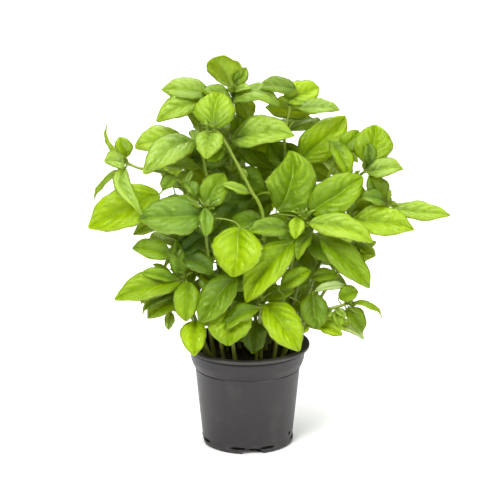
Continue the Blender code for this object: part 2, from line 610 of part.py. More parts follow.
def placed(name, mesh, finish):
    """A new object in the scene."""
    made = bpy.data.objects.new(name, mesh)
    bpy.context.scene.collection.objects.link(made)
    made.data.materials.append(finish)
    return made


def combined(target, tools, operation, solver="EXACT"):
    """Apply one Boolean between target and a collection of tools, which then go."""
    group = bpy.data.collections.new(target.name + "_tools")
    bpy.context.scene.collection.children.link(group)
    for tool in tools:
        bpy.context.scene.collection.objects.unlink(tool)
        group.objects.link(tool)
    cut = target.modifiers.new("combine", "BOOLEAN")
    cut.operation = operation
    cut.operand_type = "COLLECTION"
    cut.collection = group
    cut.solver = solver
    bpy.context.view_layer.update()
    result = bpy.data.meshes.new_from_object(target.evaluated_get(bpy.context.evaluated_depsgraph_get()))
    target.modifiers.remove(cut)
    old = target.data
    target.data = result
    bpy.data.meshes.remove(old)
    for tool in tools:
        bpy.data.objects.remove(tool)
    bpy.data.collections.remove(group)


def drain_cutters(finish):
    """Arches under the foot ring, low slots beside them and two small round holes."""
    cutters = []
    for quarter in range(4):
        middle = math.radians(-83.0 + 90.0 * quarter)
        cutters.append(radial_cutter("arch", middle, 0.0, 21.0, ARCH_RISE, finish))
        for side in (-18.5, 18.5):
            cutters.append(radial_cutter("slot", middle + math.radians(side), 6.0, 16.0, 1.4, finish))
    for angle in (-24.0, 156.0):
        cutters.append(radial_cutter("hole", math.radians(angle), 13.0, 4.6, 2.3, finish))
    return cutters


def radial_cutter(name, angle, height, width, rise, finish):
    """A lens-shaped prism that points outwards through the wall."""
    inside, outside, sides = BODY_FOOT_RADIUS - 6.0, BODY_FOOT_RADIUS + 4.0, 8
    out = Vector((math.cos(angle), math.sin(angle), 0.0))
    across = Vector((-out.y, out.x, 0.0))
    rings = []
    for distance in (inside, outside):
        centre = out * distance + Vector((0, 0, height))
        turns = [2 * math.pi * (k + 0.5) / sides for k in range(sides)]
        rings.append([
            centre + across * (0.5 * width * math.cos(a)) + Vector((0, 0, rise * math.sin(a))) for a in turns
        ])
    return placed(name, closed_mesh(name, *strip(rings)), finish)


def make_pot():
    """The pot: a turned wall with a flared lip, and drain openings round the foot."""
    finish = material("pot_plastic", (0.075, 0.068, 0.070), 0.45)
    pot = placed("pot", closed_mesh("pot", *turned(pot_profile(), POT_SIDES)), finish)
    combined(pot, drain_cutters(finish), "DIFFERENCE")
    return pot


def soil_profile():
    """The soil in section: it follows the pot's inner wall with a small gap."""
    wall = WALL + FIT_GAP
    return [
        (0.0, SOIL_HEIGHT + 1.5), (18.0, SOIL_HEIGHT + 1.0), (36.0, SOIL_HEIGHT + 0.3),
        (COLLAR_FOOT_RADIUS - 1.4 - wall, SOIL_HEIGHT - 1.0),
        (COLLAR_FOOT_RADIUS - 0.5 - wall, SOIL_HEIGHT - 2.6),
        (COLLAR_FOOT_RADIUS - 0.6 - wall, COLLAR_FOOT_HEIGHT + 2.0),
        (BODY_TOP_RADIUS - 0.4 - wall, BODY_TOP_HEIGHT),
        (BODY_FOOT_RADIUS - wall - 0.1, 9.0), (BODY_FOOT_RADIUS - wall - 0.1, 5.6 + FIT_GAP),
        (BODY_FOOT_RADIUS - wall - 1.6, 4.0 + FIT_GAP), (0.0, 4.0 + FIT_GAP),
    ]


def make_soil():
    """Potting soil with a lumpy top and a plain hole for each plant's root."""
    finish = material("potting_soil", (0.03, 0.022, 0.016), 0.95)
    mesh = closed_mesh("soil", *turned(soil_profile(), SOIL_SIDES))
    draw = random.Random(3)
    for vertex in mesh.vertices:
        if vertex.co.z > (SOIL_HEIGHT - 0.5) * MM:
            vertex.co.z += draw.uniform(-1.2, 1.2) * MM
    soil = placed("soil", mesh, finish)
    holes = []
    for plant in PLANTS:
        bottom = plant.stems[0][0] - Vector((0, 0, FIT_GAP))
        top = bottom + Vector((0, 0, ROOT_DEPTH + 8.0))
        radius = STEM_FOOT_RADIUS + FIT_GAP + HOLE_EASE
        holes.append(placed("hole", closed_mesh("hole", *tube([bottom, top], [radius, radius], 6)), finish))
    combined(soil, holes, "DIFFERENCE")
    return soil


def settle(plant, leaf, space):
    """Move a leaf along the line of sight, as little as it takes to clear its neighbours."""
    for step in range(SETTLE_STEPS):
        for sign in (1, -1):
            shift = Vector((0, -1, 0)) * (SETTLE_STEP * step * sign)
            trial = leaf.moved(shift)
            root = plant.nearest(trial.base)
            whole, blade = leaf_solids(trial, root, LEAF_CLEARANCE)
            if space.free(plant.name, whole, blade):
                return trial
            if step == 0:
                break
    return None


def hides_nothing(leaf, read):
    """Whether a leaf lies behind the leaves that were read, or shows only in the dense middle."""
    for place in leaf.marks():
        ray = place - EYE
        hit = read.ray_cast(EYE, ray.normalized())
        if hit[0] is None:
            if -place.y > SHOWN_DEPTH or not may_show(*shown(place)):
                return False
        elif hit[3] > ray.length - 1.0:
            return False
    return True


def filling_leaf(plant, place, draw):
    """A leaf of the plant whose blade passes through place; None where the plant is too near or too far."""
    root = plant.nearest(place - Vector((0.0, 0.0, 12.0)))
    way = place - root
    length = draw.uniform(42.0, 60.0)
    along = (way.normalized() + Vector((0.0, 0.0, draw.uniform(-0.6, 0.1)))).normalized()
    base = place - along * (0.45 * length)
    if not 6.0 < (base - root).length < 40.0 or (base - root).dot(way) < 0.0:
        return None
    face = (draw.uniform(-0.4, 0.4), draw.uniform(0.4, 1.0), draw.uniform(-0.3, 0.9))
    return Leaf(base, place + along * (0.55 * length), length * draw.uniform(0.54, 0.66), face,
                draw.uniform(0.04, 0.12), draw.uniform(-0.05, 0.05), draw.uniform(0.0, 0.2),
                draw.uniform(-0.9, -0.3))


def hidden_by(blade, places):
    """Those of the places seen, as across and up, that the blade hides."""
    low_across = min(shown(p)[0] for p in blade[0])
    high_across = max(shown(p)[0] for p in blade[0])
    low_up = min(shown(p)[1] for p in blade[0])
    high_up = max(shown(p)[1] for p in blade[0])
    near_by = [p for p in places if low_across < p[0] < high_across and low_up < p[1] < high_up]
    tree = BVHTree.FromPolygons(*blade)
    return [p for p in near_by if tree.ray_cast(EYE, (seen(*p, 0.0) - EYE).normalized())[0] is not None]


def fill_gaps(space, read):
    """Leaves behind the gaps between those that were read, where the plant is dense."""
    draw = random.Random(GAP_SEED)
    gaps = []
    for across in range(-132, 133, GAP_STEP):
        for up in range(96, 354, GAP_STEP):
            ray = (seen(across, up, 0.0) - EYE).normalized()
            if may_show(across, up) and read.ray_cast(EYE, ray)[0] is None:
                gaps.append((across, up))
    for depth in GAP_DEPTHS:
        for across, up in draw.sample(gaps, len(gaps)):
            if (across, up) not in gaps:
                continue
            best = None
            for plant in PLANTS:
                leaf = filling_leaf(plant, seen(across, up, depth), draw)
                if leaf is None or not hides_nothing(leaf, read):
                    continue
                whole, blade = leaf_solids(leaf, plant.nearest(leaf.base), LEAF_CLEARANCE)
                hidden = hidden_by(blade, gaps)
                if len(hidden) >= GAP_SCORE and (best is None or len(hidden) > len(best[2])):
                    if space.free(plant.name, whole, blade):
                        best = (plant, leaf, hidden)
            if best:
                take(space, best[0], best[1])
                gaps = [gap for gap in gaps if gap not in best[2]]


def ruled_leaf(root, azimuth, share, draw):
    """A leaf that leaves its stem at root in the given direction; share is 0 low on the plant and 1 high."""
    out = Vector((math.cos(azimuth), math.sin(azimuth), 0.0))
    away = Vector((root.x, root.y, 0.0)) / 90.0
    length = draw.uniform(46.0, 68.0) * (1.0 - 0.4 * share)
    stalk = draw.uniform(8.0, 18.0) * (1.0 - 0.4 * share)
    base = root + out * stalk + Vector((0.0, 0.0, stalk * draw.uniform(0.3, 0.8)))
    fall = draw.uniform(-0.8, 0.1) + 0.35 * share
    tip = base + (out * math.cos(fall) + Vector((0.0, 0.0, math.sin(fall)))) * length
    lean = [draw.uniform(-0.35, 0.35) for axis in range(2)]
    face = (away.x * 0.8 + lean[0], 1.0, -away.y * 0.8 + lean[1])
    width = length * draw.uniform(0.52, 0.64)
    return Leaf(base, tip, width, face, draw.uniform(0.06, 0.16), draw.uniform(-0.05, 0.05),
                draw.uniform(-0.05, 0.2), draw.uniform(-0.6, 0.4))


def ruled_pair_leaf(space, read, plant, root, azimuth, draw):
    """Grow one leaf of a pair from root, turned a little each time until there is room."""
    share = (root.z - SOIL_HEIGHT) / 300.0
    for attempt in range(PAIR_TRIES):
        leaf = ruled_leaf(root, azimuth + draw.uniform(-0.06, 0.06) * attempt, share, draw)
        if hides_nothing(leaf, read):
            whole, blade = leaf_solids(leaf, plant.nearest(leaf.base), LEAF_CLEARANCE)
            if space.free(plant.name, whole, blade):
                take(space, plant, leaf)
                return


def ruled_pairs(space, read):
    """Opposite pairs up every stem, each a quarter turn from the last, where there is room."""
    draw = random.Random(PAIR_SEED)
    for plant in PLANTS:
        for stem in plant.stems:
            walked, turn = 0.0, draw.uniform(0.0, math.pi)
            for a, b in zip(stem[1:], stem[2:]):
                walked += (b - a).length
                if walked >= PAIR_SPACING:
                    walked, turn = 0.0, turn + 0.5 * math.pi
                    for side in (0.0, math.pi):
                        ruled_pair_leaf(space, read, plant, b, turn + side, draw)


def take(space, plant, leaf):
    """Give a leaf its room and its place on the plant."""
    whole, blade = leaf_solids(leaf, plant.nearest(leaf.base))
    space.add(plant.name, "blade", blade)
    space.add(plant.name, "whole", whole)
    plant.grown.append(leaf)


def read_surface(space):
    """One surface of all the blades that were read, for looking past them."""
    points, faces = [], []
    for plant in PLANTS:
        for leaf in plant.grown:
            more, sides = leaf_solids(leaf, plant.nearest(leaf.base))[1]
            faces += [tuple(i + len(points) for i in side) for side in sides]
            points += more
    return BVHTree.FromPolygons(points, faces)


def grow_plants():
    """Settle every leaf; the stems take their room first."""
    space = Space()
    space.add("pot", "wall", turned(pot_profile(), POT_SIDES))
    space.add("soil", "top", turned(soil_profile(), SOIL_SIDES))
    for plant in PLANTS:
        for solid in stem_solids(plant):
            space.add(plant.name, "stem", solid)
    for plant in PLANTS:
        for leaf in plant.leaves:
            good = settle(plant, leaf, space)
            if good:
                take(space, plant, good)
    read = read_surface(space)
    fill_gaps(space, read)
    ruled_pairs(space, read)


def make_plant(plant, finish):
    """One plant as one closed body: its stem with branches and leaves joined on."""
    tubes = stem_solids(plant)
    body = placed(plant.name, closed_mesh(plant.name, *tubes[0]), finish)
    parts = [closed_mesh("branch", *solid) for solid in tubes[1:]]
    for leaf in plant.grown:
        whole, blade = leaf_solids(leaf, plant.nearest(leaf.base))
        parts.append(closed_mesh("leaf", *whole))
    if parts:
        combined(body, [placed(mesh.name, mesh, finish) for mesh in parts], "UNION", "MANIFOLD")
    return body


def main():
    for old in list(bpy.data.objects):
        bpy.data.objects.remove(old)
    grow_plants()
    made = [make_pot(), make_soil()]
    green = material("basil_leaf", (0.22, 0.42, 0.03), 0.4)
    for plant in PLANTS:
        made.append(make_plant(plant, green))
    bpy.context.view_layer.update()
    corners = [thing.matrix_world @ Vector(corner) for thing in made for corner in thing.bound_box]
    low, high = reach(corners)
    base = bpy.data.objects.new("base", None)
    bpy.context.scene.collection.objects.link(base)
    base.location = (-(low.x + high.x) / 2, -(low.y + high.y) / 2, -low.z)
    for thing in made:
        thing.parent = base


main()
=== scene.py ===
"""A potted basil under soft studio light.

The plants grow by the same rules as the part's own source: stems and leaves were read from in front, and more
leaves grow behind them. Every leaf then gets its veins, its quilted surface and its curled edge.
Working lengths are millimetres from the middle of the pot's foot.
"""
import math
import random

import bmesh
import bpy
import numpy as np
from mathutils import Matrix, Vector, geometry, noise
from mathutils.bvhtree import BVHTree


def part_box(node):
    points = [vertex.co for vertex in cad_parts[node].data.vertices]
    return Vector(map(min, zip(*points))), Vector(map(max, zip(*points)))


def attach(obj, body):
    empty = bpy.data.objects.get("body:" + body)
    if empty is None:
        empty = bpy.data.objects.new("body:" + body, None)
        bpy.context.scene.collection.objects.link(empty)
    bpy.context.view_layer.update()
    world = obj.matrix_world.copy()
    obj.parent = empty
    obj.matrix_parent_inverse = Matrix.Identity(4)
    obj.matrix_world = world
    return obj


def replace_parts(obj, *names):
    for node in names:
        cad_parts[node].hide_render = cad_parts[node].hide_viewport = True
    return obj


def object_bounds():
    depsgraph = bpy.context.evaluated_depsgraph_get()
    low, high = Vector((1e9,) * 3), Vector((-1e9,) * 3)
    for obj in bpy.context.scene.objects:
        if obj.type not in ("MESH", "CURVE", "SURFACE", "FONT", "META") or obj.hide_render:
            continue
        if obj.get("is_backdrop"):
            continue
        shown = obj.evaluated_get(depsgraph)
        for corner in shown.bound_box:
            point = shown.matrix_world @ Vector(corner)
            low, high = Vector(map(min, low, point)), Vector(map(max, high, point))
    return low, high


MM = 0.001

# Sizes that the solids have as well
FIT_GAP = 0.35
POT_HEIGHT = 104.0
LIP_RADIUS = 62.8
LIP_DEPTH = 3.0
COLLAR_RADIUS = 58.2
COLLAR_FOOT_RADIUS = 55.0
COLLAR_FOOT_HEIGHT = 82.5
BODY_TOP_RADIUS = 53.0
BODY_TOP_HEIGHT = 78.5
BODY_FOOT_RADIUS = 46.0
ARCH_RISE = 5.4
WALL = 1.6
POT_SIDES = 28
SOIL_SIDES = 14
SOIL_HEIGHT = 92.0

# The line of sight along which the leaves were read, level with the middle of the plant
SIGHT_DISTANCE = 2400.0
SIGHT_FALL = math.radians(16.4)
SIGHT_AIM = Vector((2.5, 0.0, 200.9))
SIGHT_UP = 188.3

# Leaves and stems
BLADE_THICKNESS = 1.2
BLADE_STATIONS = (0.14, 0.42, 0.74)
SMALL_BLADE = 20.5
SMALL_STATIONS = (0.2, 0.62)
STALK_RADIUS = 0.75
SHORT_STALK = 20.0
STEM_SIDES = 5
STEM_PIECES = 2
STEM_FOOT_RADIUS = 2.3
STEM_TOP_RADIUS = 1.3
ROOT_DEPTH = 14.0
LEAF_CLEARANCE = 0.4
LOWEST_ROOT = 4.0
JOINT_SHARES = (0.15, 0.85)
SETTLE_STEP = 2.0
SETTLE_STEPS = 19

# Leaves that grow by rule: some behind the gaps between the leaves that were read, then pairs up the stems
SHOWN_DEPTH = 24.0
GAP_STEP = 6
GAP_DEPTHS = (14.0, -6.0, -28.0, -52.0, -78.0)
GAP_SCORE = 5
GAP_SEED = 2
FILL_LENGTHS = (42.0, 60.0)
FILL_STALKS = (6.0, 40.0)
PAIR_SPACING = 19.0
PAIR_TRIES = 12
PAIR_SEED = 11
PAIR_LENGTHS = (46.0, 68.0)
PAIR_STALKS = (8.0, 18.0)
PAIR_RISE = 300.0
SEARCH_ACROSS = (-132, 133)
SEARCH_UP = (96, 354)

# The dense middle of the plant as seen, and the small gaps that show through it: across, up (and radius)
DENSE_OUTLINE = (
    (-42, 348), (-20, 350), (-7, 345), (14, 353), (42, 353), (70, 345), (82, 327), (90, 318), (97, 303),
    (104, 288), (114, 272), (110, 252), (130, 238), (147, 222), (132, 203), (124, 188), (120, 163),
    (97, 148), (82, 146), (92, 118), (62, 103), (52, 93), (-47, 93), (-57, 108), (-82, 120), (-97, 126),
    (-107, 138), (-112, 152), (-87, 163), (-82, 170), (-97, 190), (-97, 198), (-127, 222), (-117, 232),
    (-97, 242), (-82, 248), (-87, 262), (-97, 272), (-117, 288), (-107, 296), (-82, 302), (-72, 318),
    (-87, 325), (-82, 338), (-67, 348),
)
OPEN_GAPS = (
    (-107, 257, 9), (-96, 257, 8), (-76, 242, 9), (-58.5, 261, 6), (-72.5, 255, 4), (-65, 311, 7),
    (-96, 202, 6), (-80, 197, 5), (95, 156, 7), (-21, 306.5, 5), (-17, 293, 4), (-14.5, 323, 4),
    (12.5, 325, 10), (30.5, 340, 4), (47.5, 302, 8), (70.5, 257, 5), (103.5, 287, 7), (107.5, 270, 7),
    (118.5, 272, 3), (117.5, 253, 5), (-7.5, 241, 4), (-40.5, 160, 4), (-83.5, 171, 7), (-65, 121, 4),
    (50.5, 148, 6), (58.5, 144, 3), (84.5, 138, 6), (95.5, 133, 3), (83, 117, 5), (12.5, 130, 3),
    (12.5, 116, 3),
)

# Finer pot, soil and crumbs
POT_FINE_SIDES = 144
POT_EDGE = 0.5
POT_EDGE_STEPS = 3
SHARP_ANGLE = 38.0
SOIL_RINGS = 44
SOIL_FINE_SIDES = 120
SOIL_LUMP = 1.3
SOIL_RISE = 1.5
SOIL_BOW = 2.6
SOIL_EDGE = 3.0
CRUMB_SIZES = {"Density": 420000.0, "Size": 1.0}
CRUMB_RADIUS = 0.75

# Where leaves take a painted sheen on their upper side, turn pale, or turn cool: what it takes to begin, and
# to be complete
SHEEN_HEIGHTS = (170.0, 310.0)
SHEEN_SLOPES = (0.5, 0.8)
SHEEN_TONES = (-0.35, 0.25)
PALE_TONES = (0.92, 1.0)
PALE_LEVEL = 1.8
COOL_MIDDLE = (-55.0, 235.0)
COOL_REACH = 34.0
COOL_CHANCE = 0.24
WARM_TONES = (0.3, 0.8)
YOUNG_WIDTHS = (11.0, 15.0)

# Finer leaves and stems. Rows and half columns: fewest, most, and how wide each is.
BLADE_FINE = 0.5
BLADE_ROWS = (10, 46, 1.35)
BLADE_HALF_COLUMNS = (4, 11, 3.3)
BACK_FULLNESS = 1.07
AXIL_WIDTH = 25.0
AXIL_SIZES = (8.0, 15.0)
EDGE_SWELLS = (0.022, 0.016)
HALF_ARCH = 0.15
HALF_LIFT = 0.19
PILLOW_RISE = 0.05
EDGE_FALL = 0.55
EDGE_WAVE = 0.034
SIDE_SWAY = 0.05
VEIN_PAIRS = 5.3
VEIN_LEAN = (0.16, 0.34)
VEIN_OFFSET = 0.3
STALK_SIZES = {"Step": 1.5 * MM, "Corner": 0.55}
STEM_PROFILE = 1.86
STALK_PIECE = 2.0
STALK_FULL_WIDTH = 26.0
RIB_SHARE = 0.08
RIB_PIECES = 8
RIB_SINK = 0.30
BUD_PAIRS = ((15.0, 0.95), (10.0, 0.6), (6.0, 0.3))
BUD_SHAPE = 0.58
AXIL_SHAPE = 0.55
JOINT_SWELL = 0.22
JOINT_REACH = 2.6

# Cutters of the drain openings: angles round the foot in degrees, then height, width, rise and depth
ARCH_TURN = -83.0
ARCH_CUT = (0.0, 22.0, ARCH_RISE + 1.2, 16.0)
SLOT_TURNS = (-18.5, 18.5)
SLOT_CUT = (6.0, 16.0, 1.4, 6.0)
HOLE_TURNS = (-24.0, 156.0)
HOLE_CUT = (13.0, 4.6, 2.3, 6.0)
CUTTER_SIDES = 24
CUTTER_EXCESS = 4.0

# Widths of the leaf's grain in millimetres, and the cells of its fine net to a metre
PATCH_SIZE = 12.0
MOTTLE_SIZE = 16.0
RIPPLE_SIZE = 6.0
FLECK_SIZE = 2.8
NET_CELLS = 310.0

# Colours of the finishes
POT_DARK = (0.0265, 0.0225, 0.0240)
# Pale colour of the dust, and of the painted highlight on the lip
POT_DUST_AND_HIGHLIGHT = (0.085, 0.080, 0.074)
# Painted shadow under the lip: its near-black colour, and the height of the lip's underside at which it ends
POT_UNDER_LIP_SHADOW = (0.006, 0.005, 0.006)
UNDER_LIP_HEIGHT = POT_HEIGHT - LIP_DEPTH - 1.4
SOIL_DARK = (0.014, 0.009, 0.006)
SOIL_BROWN = (0.060, 0.036, 0.021)
CRUMB_BROWN = (0.12, 0.075, 0.045)
LEAF_TONES = ((0.0, (0.036, 0.066, 0.001)), (0.45, (0.118, 0.205, 0.001)), (0.75, (0.22, 0.34, 0.002)),
              (1.0, (0.33, 0.475, 0.004)))
LEAF_VEIN = (0.42, 0.58, 0.07)
# Colour of the painted sheen, and of the pallor of small young leaves
LEAF_SHEEN_AND_PALLOR = (0.36, 0.47, 0.20)
LEAF_COOL = (0.105, 0.215, 0.060)
LEAF_PALE = (0.50, 0.60, 0.33)
LEAF_RIM_LIGHT = (0.50, 0.64, 0.16)
LEAF_UNDER = (0.28, 0.40, 0.07)
LEAF_GLOW = (0.85, 0.95, 0.02)
STEM_PALE = (0.20, 0.29, 0.020)
STEM_DEEP = (0.19, 0.20, 0.040)
STEM_STREAK = (0.42, 0.52, 0.17)
STEM_GLOW = (0.55, 0.75, 0.10)

# The stage: sizes in metres, the lens in millimetres
WORLD_LIGHT = 0.16
FLOOR_RADIUS = 1.6
FLOOR_SIDES = 64
FLOOR_WHITE = 0.86
LIGHT_AIM = 0.2
SOFT_LIGHTS = (
    ("ceiling", (0.0, 0.1, 2.3), 2.4, 40.0),
    ("ceiling_back", (0.0, 3.0, 2.6), 3.6, 125.0),
    ("key", (-0.8, -1.6, 1.7), 1.2, 62.0),
    ("fill", (1.7, -1.7, 0.9), 1.6, 36.0),
)
SENSOR_WIDTH = 36.0
SEEN_WIDTH = 500.0
SEEN_REACH = 30.0


class Value:
    """What a shader socket gives, with the operators that add Math nodes."""

    def __init__(self, finish, socket):
        self.finish = finish
        self.socket = socket

    def math(self, operation, *others):
        return self.finish.math(operation, self, *others)

    def give(self, output):
        """Another output of the same node."""
        return Value(self.finish, self.socket.node.outputs[output])

    def __add__(self, other):
        return self.finish.math("ADD", self, other)

    def __radd__(self, other):
        return self.finish.math("ADD", other, self)

    def __sub__(self, other):
        return self.finish.math("SUBTRACT", self, other)

    def __rsub__(self, other):
        return self.finish.math("SUBTRACT", other, self)

    def __mul__(self, other):
        return self.finish.math("MULTIPLY", self, other)

    def __rmul__(self, other):
        return self.finish.math("MULTIPLY", other, self)

    def __pow__(self, other):
        return self.finish.math("POWER", self, other)


class Finish:
    """A material while its nodes are laid out."""

    def __init__(self, name):
        self.material = bpy.data.materials.new(name)
        self.material.use_nodes = True
        self.tree = self.material.node_tree
        self.tree.nodes.clear()

    def node(self, kind, inputs=None, give=0, stops=(), **settings):
        """Add a node with its settings, the stops of its ramp and the values or links of its sockets."""
        made = self.tree.nodes.new(kind)
        for name, value in settings.items():
            setattr(made, name, value)
        if stops:
            ramp = made.color_ramp
            ramp.elements[0].position, ramp.elements[-1].position = stops[0][0], stops[-1][0]
            for place, colour in stops[1:-1]:
                ramp.elements.new(place)
            for element, (place, colour) in zip(ramp.elements, stops):
                element.color = (*colour, 1.0)
        for name, value in (inputs or {}).items():
            if isinstance(value, Value):
                self.tree.links.new(value.socket, made.inputs[name])
            elif isinstance(value, tuple) and made.inputs[name].type == "RGBA":
                made.inputs[name].default_value = (*value, 1.0)
            else:
                made.inputs[name].default_value = value
        return Value(self, made.outputs[give])

    def math(self, operation, *values):
        return self.node("ShaderNodeMath", dict(enumerate(values)), operation=operation)

    def step(self, value, low, high):
        """Rises smoothly from 0 at low to 1 at high."""
        return self.node("ShaderNodeMapRange", {"Value": value, "From Min": low, "From Max": high},
                         interpolation_type="SMOOTHSTEP")

    def mix(self, factor, first, second):
        """A colour between two."""
        return self.node("ShaderNodeMix", {0: factor, 6: first, 7: second}, give=2, data_type="RGBA")

    def place(self, stretch=(1.0, 1.0, 1.0)):
        """Object coordinates in metres, stretched along the axes."""
        where = self.node("ShaderNodeTexCoord", give=3)
        return self.node("ShaderNodeMapping", {"Vector": where, "Scale": stretch})

    def grain(self, where, size, detail=3.0, rough=0.55):
        """Noise from 0 to 1 whose lumps are about so many millimetres wide."""
        return self.node("ShaderNodeTexNoise", {
            "Vector": where, "Scale": 1.0 / (size * MM), "Detail": detail, "Roughness": rough,
        })

    def attribute(self, name):
        """A number that the mesh holds."""
        return self.node("ShaderNodeAttribute", give=2, attribute_name=name)

    def height(self):
        """Height above the pot's foot in metres."""
        return self.node("ShaderNodeSeparateXYZ", {0: self.node("ShaderNodeTexCoord", give=3)}).give(2)

    def bump(self, height, depth, under=None):
        """A normal raised by height, 0 to 1, of so many millimetres."""
        inputs = {"Height": height, "Distance": depth * MM, "Strength": 1.0}
        if under:
            inputs["Normal"] = under
        return self.node("ShaderNodeBump", inputs)

    def principled(self, **sockets):
        named = {name.replace("_", " ").title().replace("Ior", "IOR"): value
                 for name, value in sockets.items()}
        return self.node("ShaderNodeBsdfPrincipled", named)

    def glowing(self, shader, share, colour):
        """End the material with this shader and a share of light that comes through."""
        glow = self.node("ShaderNodeBsdfTranslucent", {"Color": colour})
        return self.surface(self.node("ShaderNodeMixShader", {0: share, 1: shader, 2: glow}))

    def surface(self, shader):
        """End the material with this shader."""
        output = self.tree.nodes.new("ShaderNodeOutputMaterial")
        self.tree.links.new(shader.socket, output.inputs["Surface"])
        return self.material


def leaf_finish():
    """Basil leaf: sunken midrib and side veins, a quilted satin surface, light that glows through; painted
    shade in the vein creases, painted rim light along the edges, and a painted sheen and painted highlights
    on the upper side.
    """
    made = Finish("basil_leaf")
    blade = made.node("ShaderNodeSeparateXYZ", {0: made.node("ShaderNodeUVMap", uv_map="blade")})
    along = blade.give(1)
    right = blade.math("GREATER_THAN", 0.5)
    out = (blade - 0.5).math("ABSOLUTE") * 2.0
    phase = (along - out * VEIN_LEAN[0] - out * out * VEIN_LEAN[1]) * VEIN_PAIRS + right * VEIN_OFFSET
    lobe = 1.0 - (phase.math("FRACT") - 0.5).math("ABSOLUTE") * 2.0
    fade = 1.0 - made.step(out, 0.7, 1.0)
    midrib = 1.0 - made.step(out, 0.010, 0.048)
    side_veins = (1.0 - made.step(lobe, 0.02, 0.11)) * fade
    veins = midrib.math("MAXIMUM", side_veins * 0.26)
    where = made.place()
    net = made.step(made.node("ShaderNodeTexVoronoi", {"Vector": where, "Scale": NET_CELLS},
                              feature="DISTANCE_TO_EDGE"), 0.0, 0.25)
    mottle = made.grain(where, MOTTLE_SIZE, 3.0)
    fleck = made.grain(where, FLECK_SIZE, 3.0, 0.6)
    under = made.attribute("underside")
    # The tone carries each leaf's own colour, and painted shade and light.
    tone = made.attribute("tone")
    depth = made.step(made.grain(where, PATCH_SIZE, 1.0), 0.38, 0.68) * 0.85 + 0.15
    shade = tone * 0.5 + 0.5 + (mottle - 0.5) * 0.5 + (fleck - 0.5) * 0.46
    # Painted shade and light: darker in the creases of the side veins and beside the midrib, lighter on the
    # pillows between them. The leaf is also darker towards its stalk and lighter towards its tip, and lighter
    # towards its edges as painted rim light.
    shade = shade + (lobe ** 0.6 - 0.62) * fade * depth * 0.36
    shade = shade + (along - 0.5) * 0.30 + (out - 0.5) * 0.14 + 0.08
    shade = shade - (1.0 - made.step(along, 0.0, 0.45)) * 0.14 - (1.0 - made.step(out, 0.04, 0.3)) * 0.08
    colour = made.node("ShaderNodeValToRGB", {0: shade}, stops=LEAF_TONES)
    cool = made.attribute("cool")
    colour = made.mix(cool * (0.35 + mottle * 0.5), colour, LEAF_COOL)
    # Painted sheen: on the leaves that carry it, a pale bluish green in flecks and over the pillows stands in
    # for the lights' reflection. The same mix gives small young leaves and the palest leaves their own
    # pallor.
    bloom = made.attribute("bloom")
    sheen_flecks = made.step(fleck, 0.42, 0.6)
    crown = made.step(lobe, 0.3, 0.9) * fade * (0.35 + depth * 0.65) * made.step(out, 0.03, 0.16)
    sheen_pattern = (0.08 + mottle * 0.28 + sheen_flecks * 0.35 + crown * 0.5) * (0.6 + net * 0.4)
    # Painted highlight on the crowns of the pillows, on every leaf.
    pillow_highlight = crown * sheen_flecks * made.step(mottle, 0.42, 0.62) * 0.3
    colour = made.mix((bloom * sheen_pattern).math("MAXIMUM", pillow_highlight), colour, LEAF_SHEEN_AND_PALLOR)
    colour = made.mix(veins * 0.42, colour, LEAF_VEIN)
    # Painted rim light: a pale band along the blade's edge.
    colour = made.mix(made.step(out, 0.87, 0.99) * 0.75, colour, LEAF_RIM_LIGHT)
    colour = made.mix(under * 0.55, colour, LEAF_UNDER)
    colour = made.mix(made.step(bloom, 1.1, 1.7) * 0.85, colour, LEAF_PALE)
    rough = 0.25 + (mottle - 0.5) * 0.24 + under * 0.2 + (1.0 - net) * 0.05
    height = lobe ** 0.5 * fade * depth * 0.62 + net * 0.22 - midrib * 0.4 + fleck * 0.5
    height = height + made.grain(where, RIPPLE_SIZE, 2.0) * 1.1
    leaf = made.principled(base_color=colour, roughness=rough, normal=made.bump(height, 1.0),
                           specular_ior_level=0.44)
    return made.glowing(leaf, 0.40 - veins * 0.14, LEAF_GLOW)


def stem_finish():
    """Stems and leaf stalks: pale green with fine streaks, duller towards the soil."""
    made = Finish("basil_stem")
    streak = made.grain(made.place((1.0, 1.0, 0.12)), 0.9, 3.0)
    cloud = made.grain(made.place(), 22.0, 2.0)
    young = made.step(made.height(), (SOIL_HEIGHT + 10.0) * MM, 190.0 * MM)
    colour = made.mix(young * 0.75 + (cloud - 0.5) * 0.7, STEM_DEEP, STEM_PALE)
    colour = made.mix((streak - 0.5) * (young * 0.7 + 0.2), colour, STEM_STREAK)
    stem = made.principled(base_color=colour, roughness=0.34 + (streak - 0.5) * 0.2,
                           normal=made.bump(streak, 0.18))
    return made.glowing(stem, 0.15, STEM_GLOW)


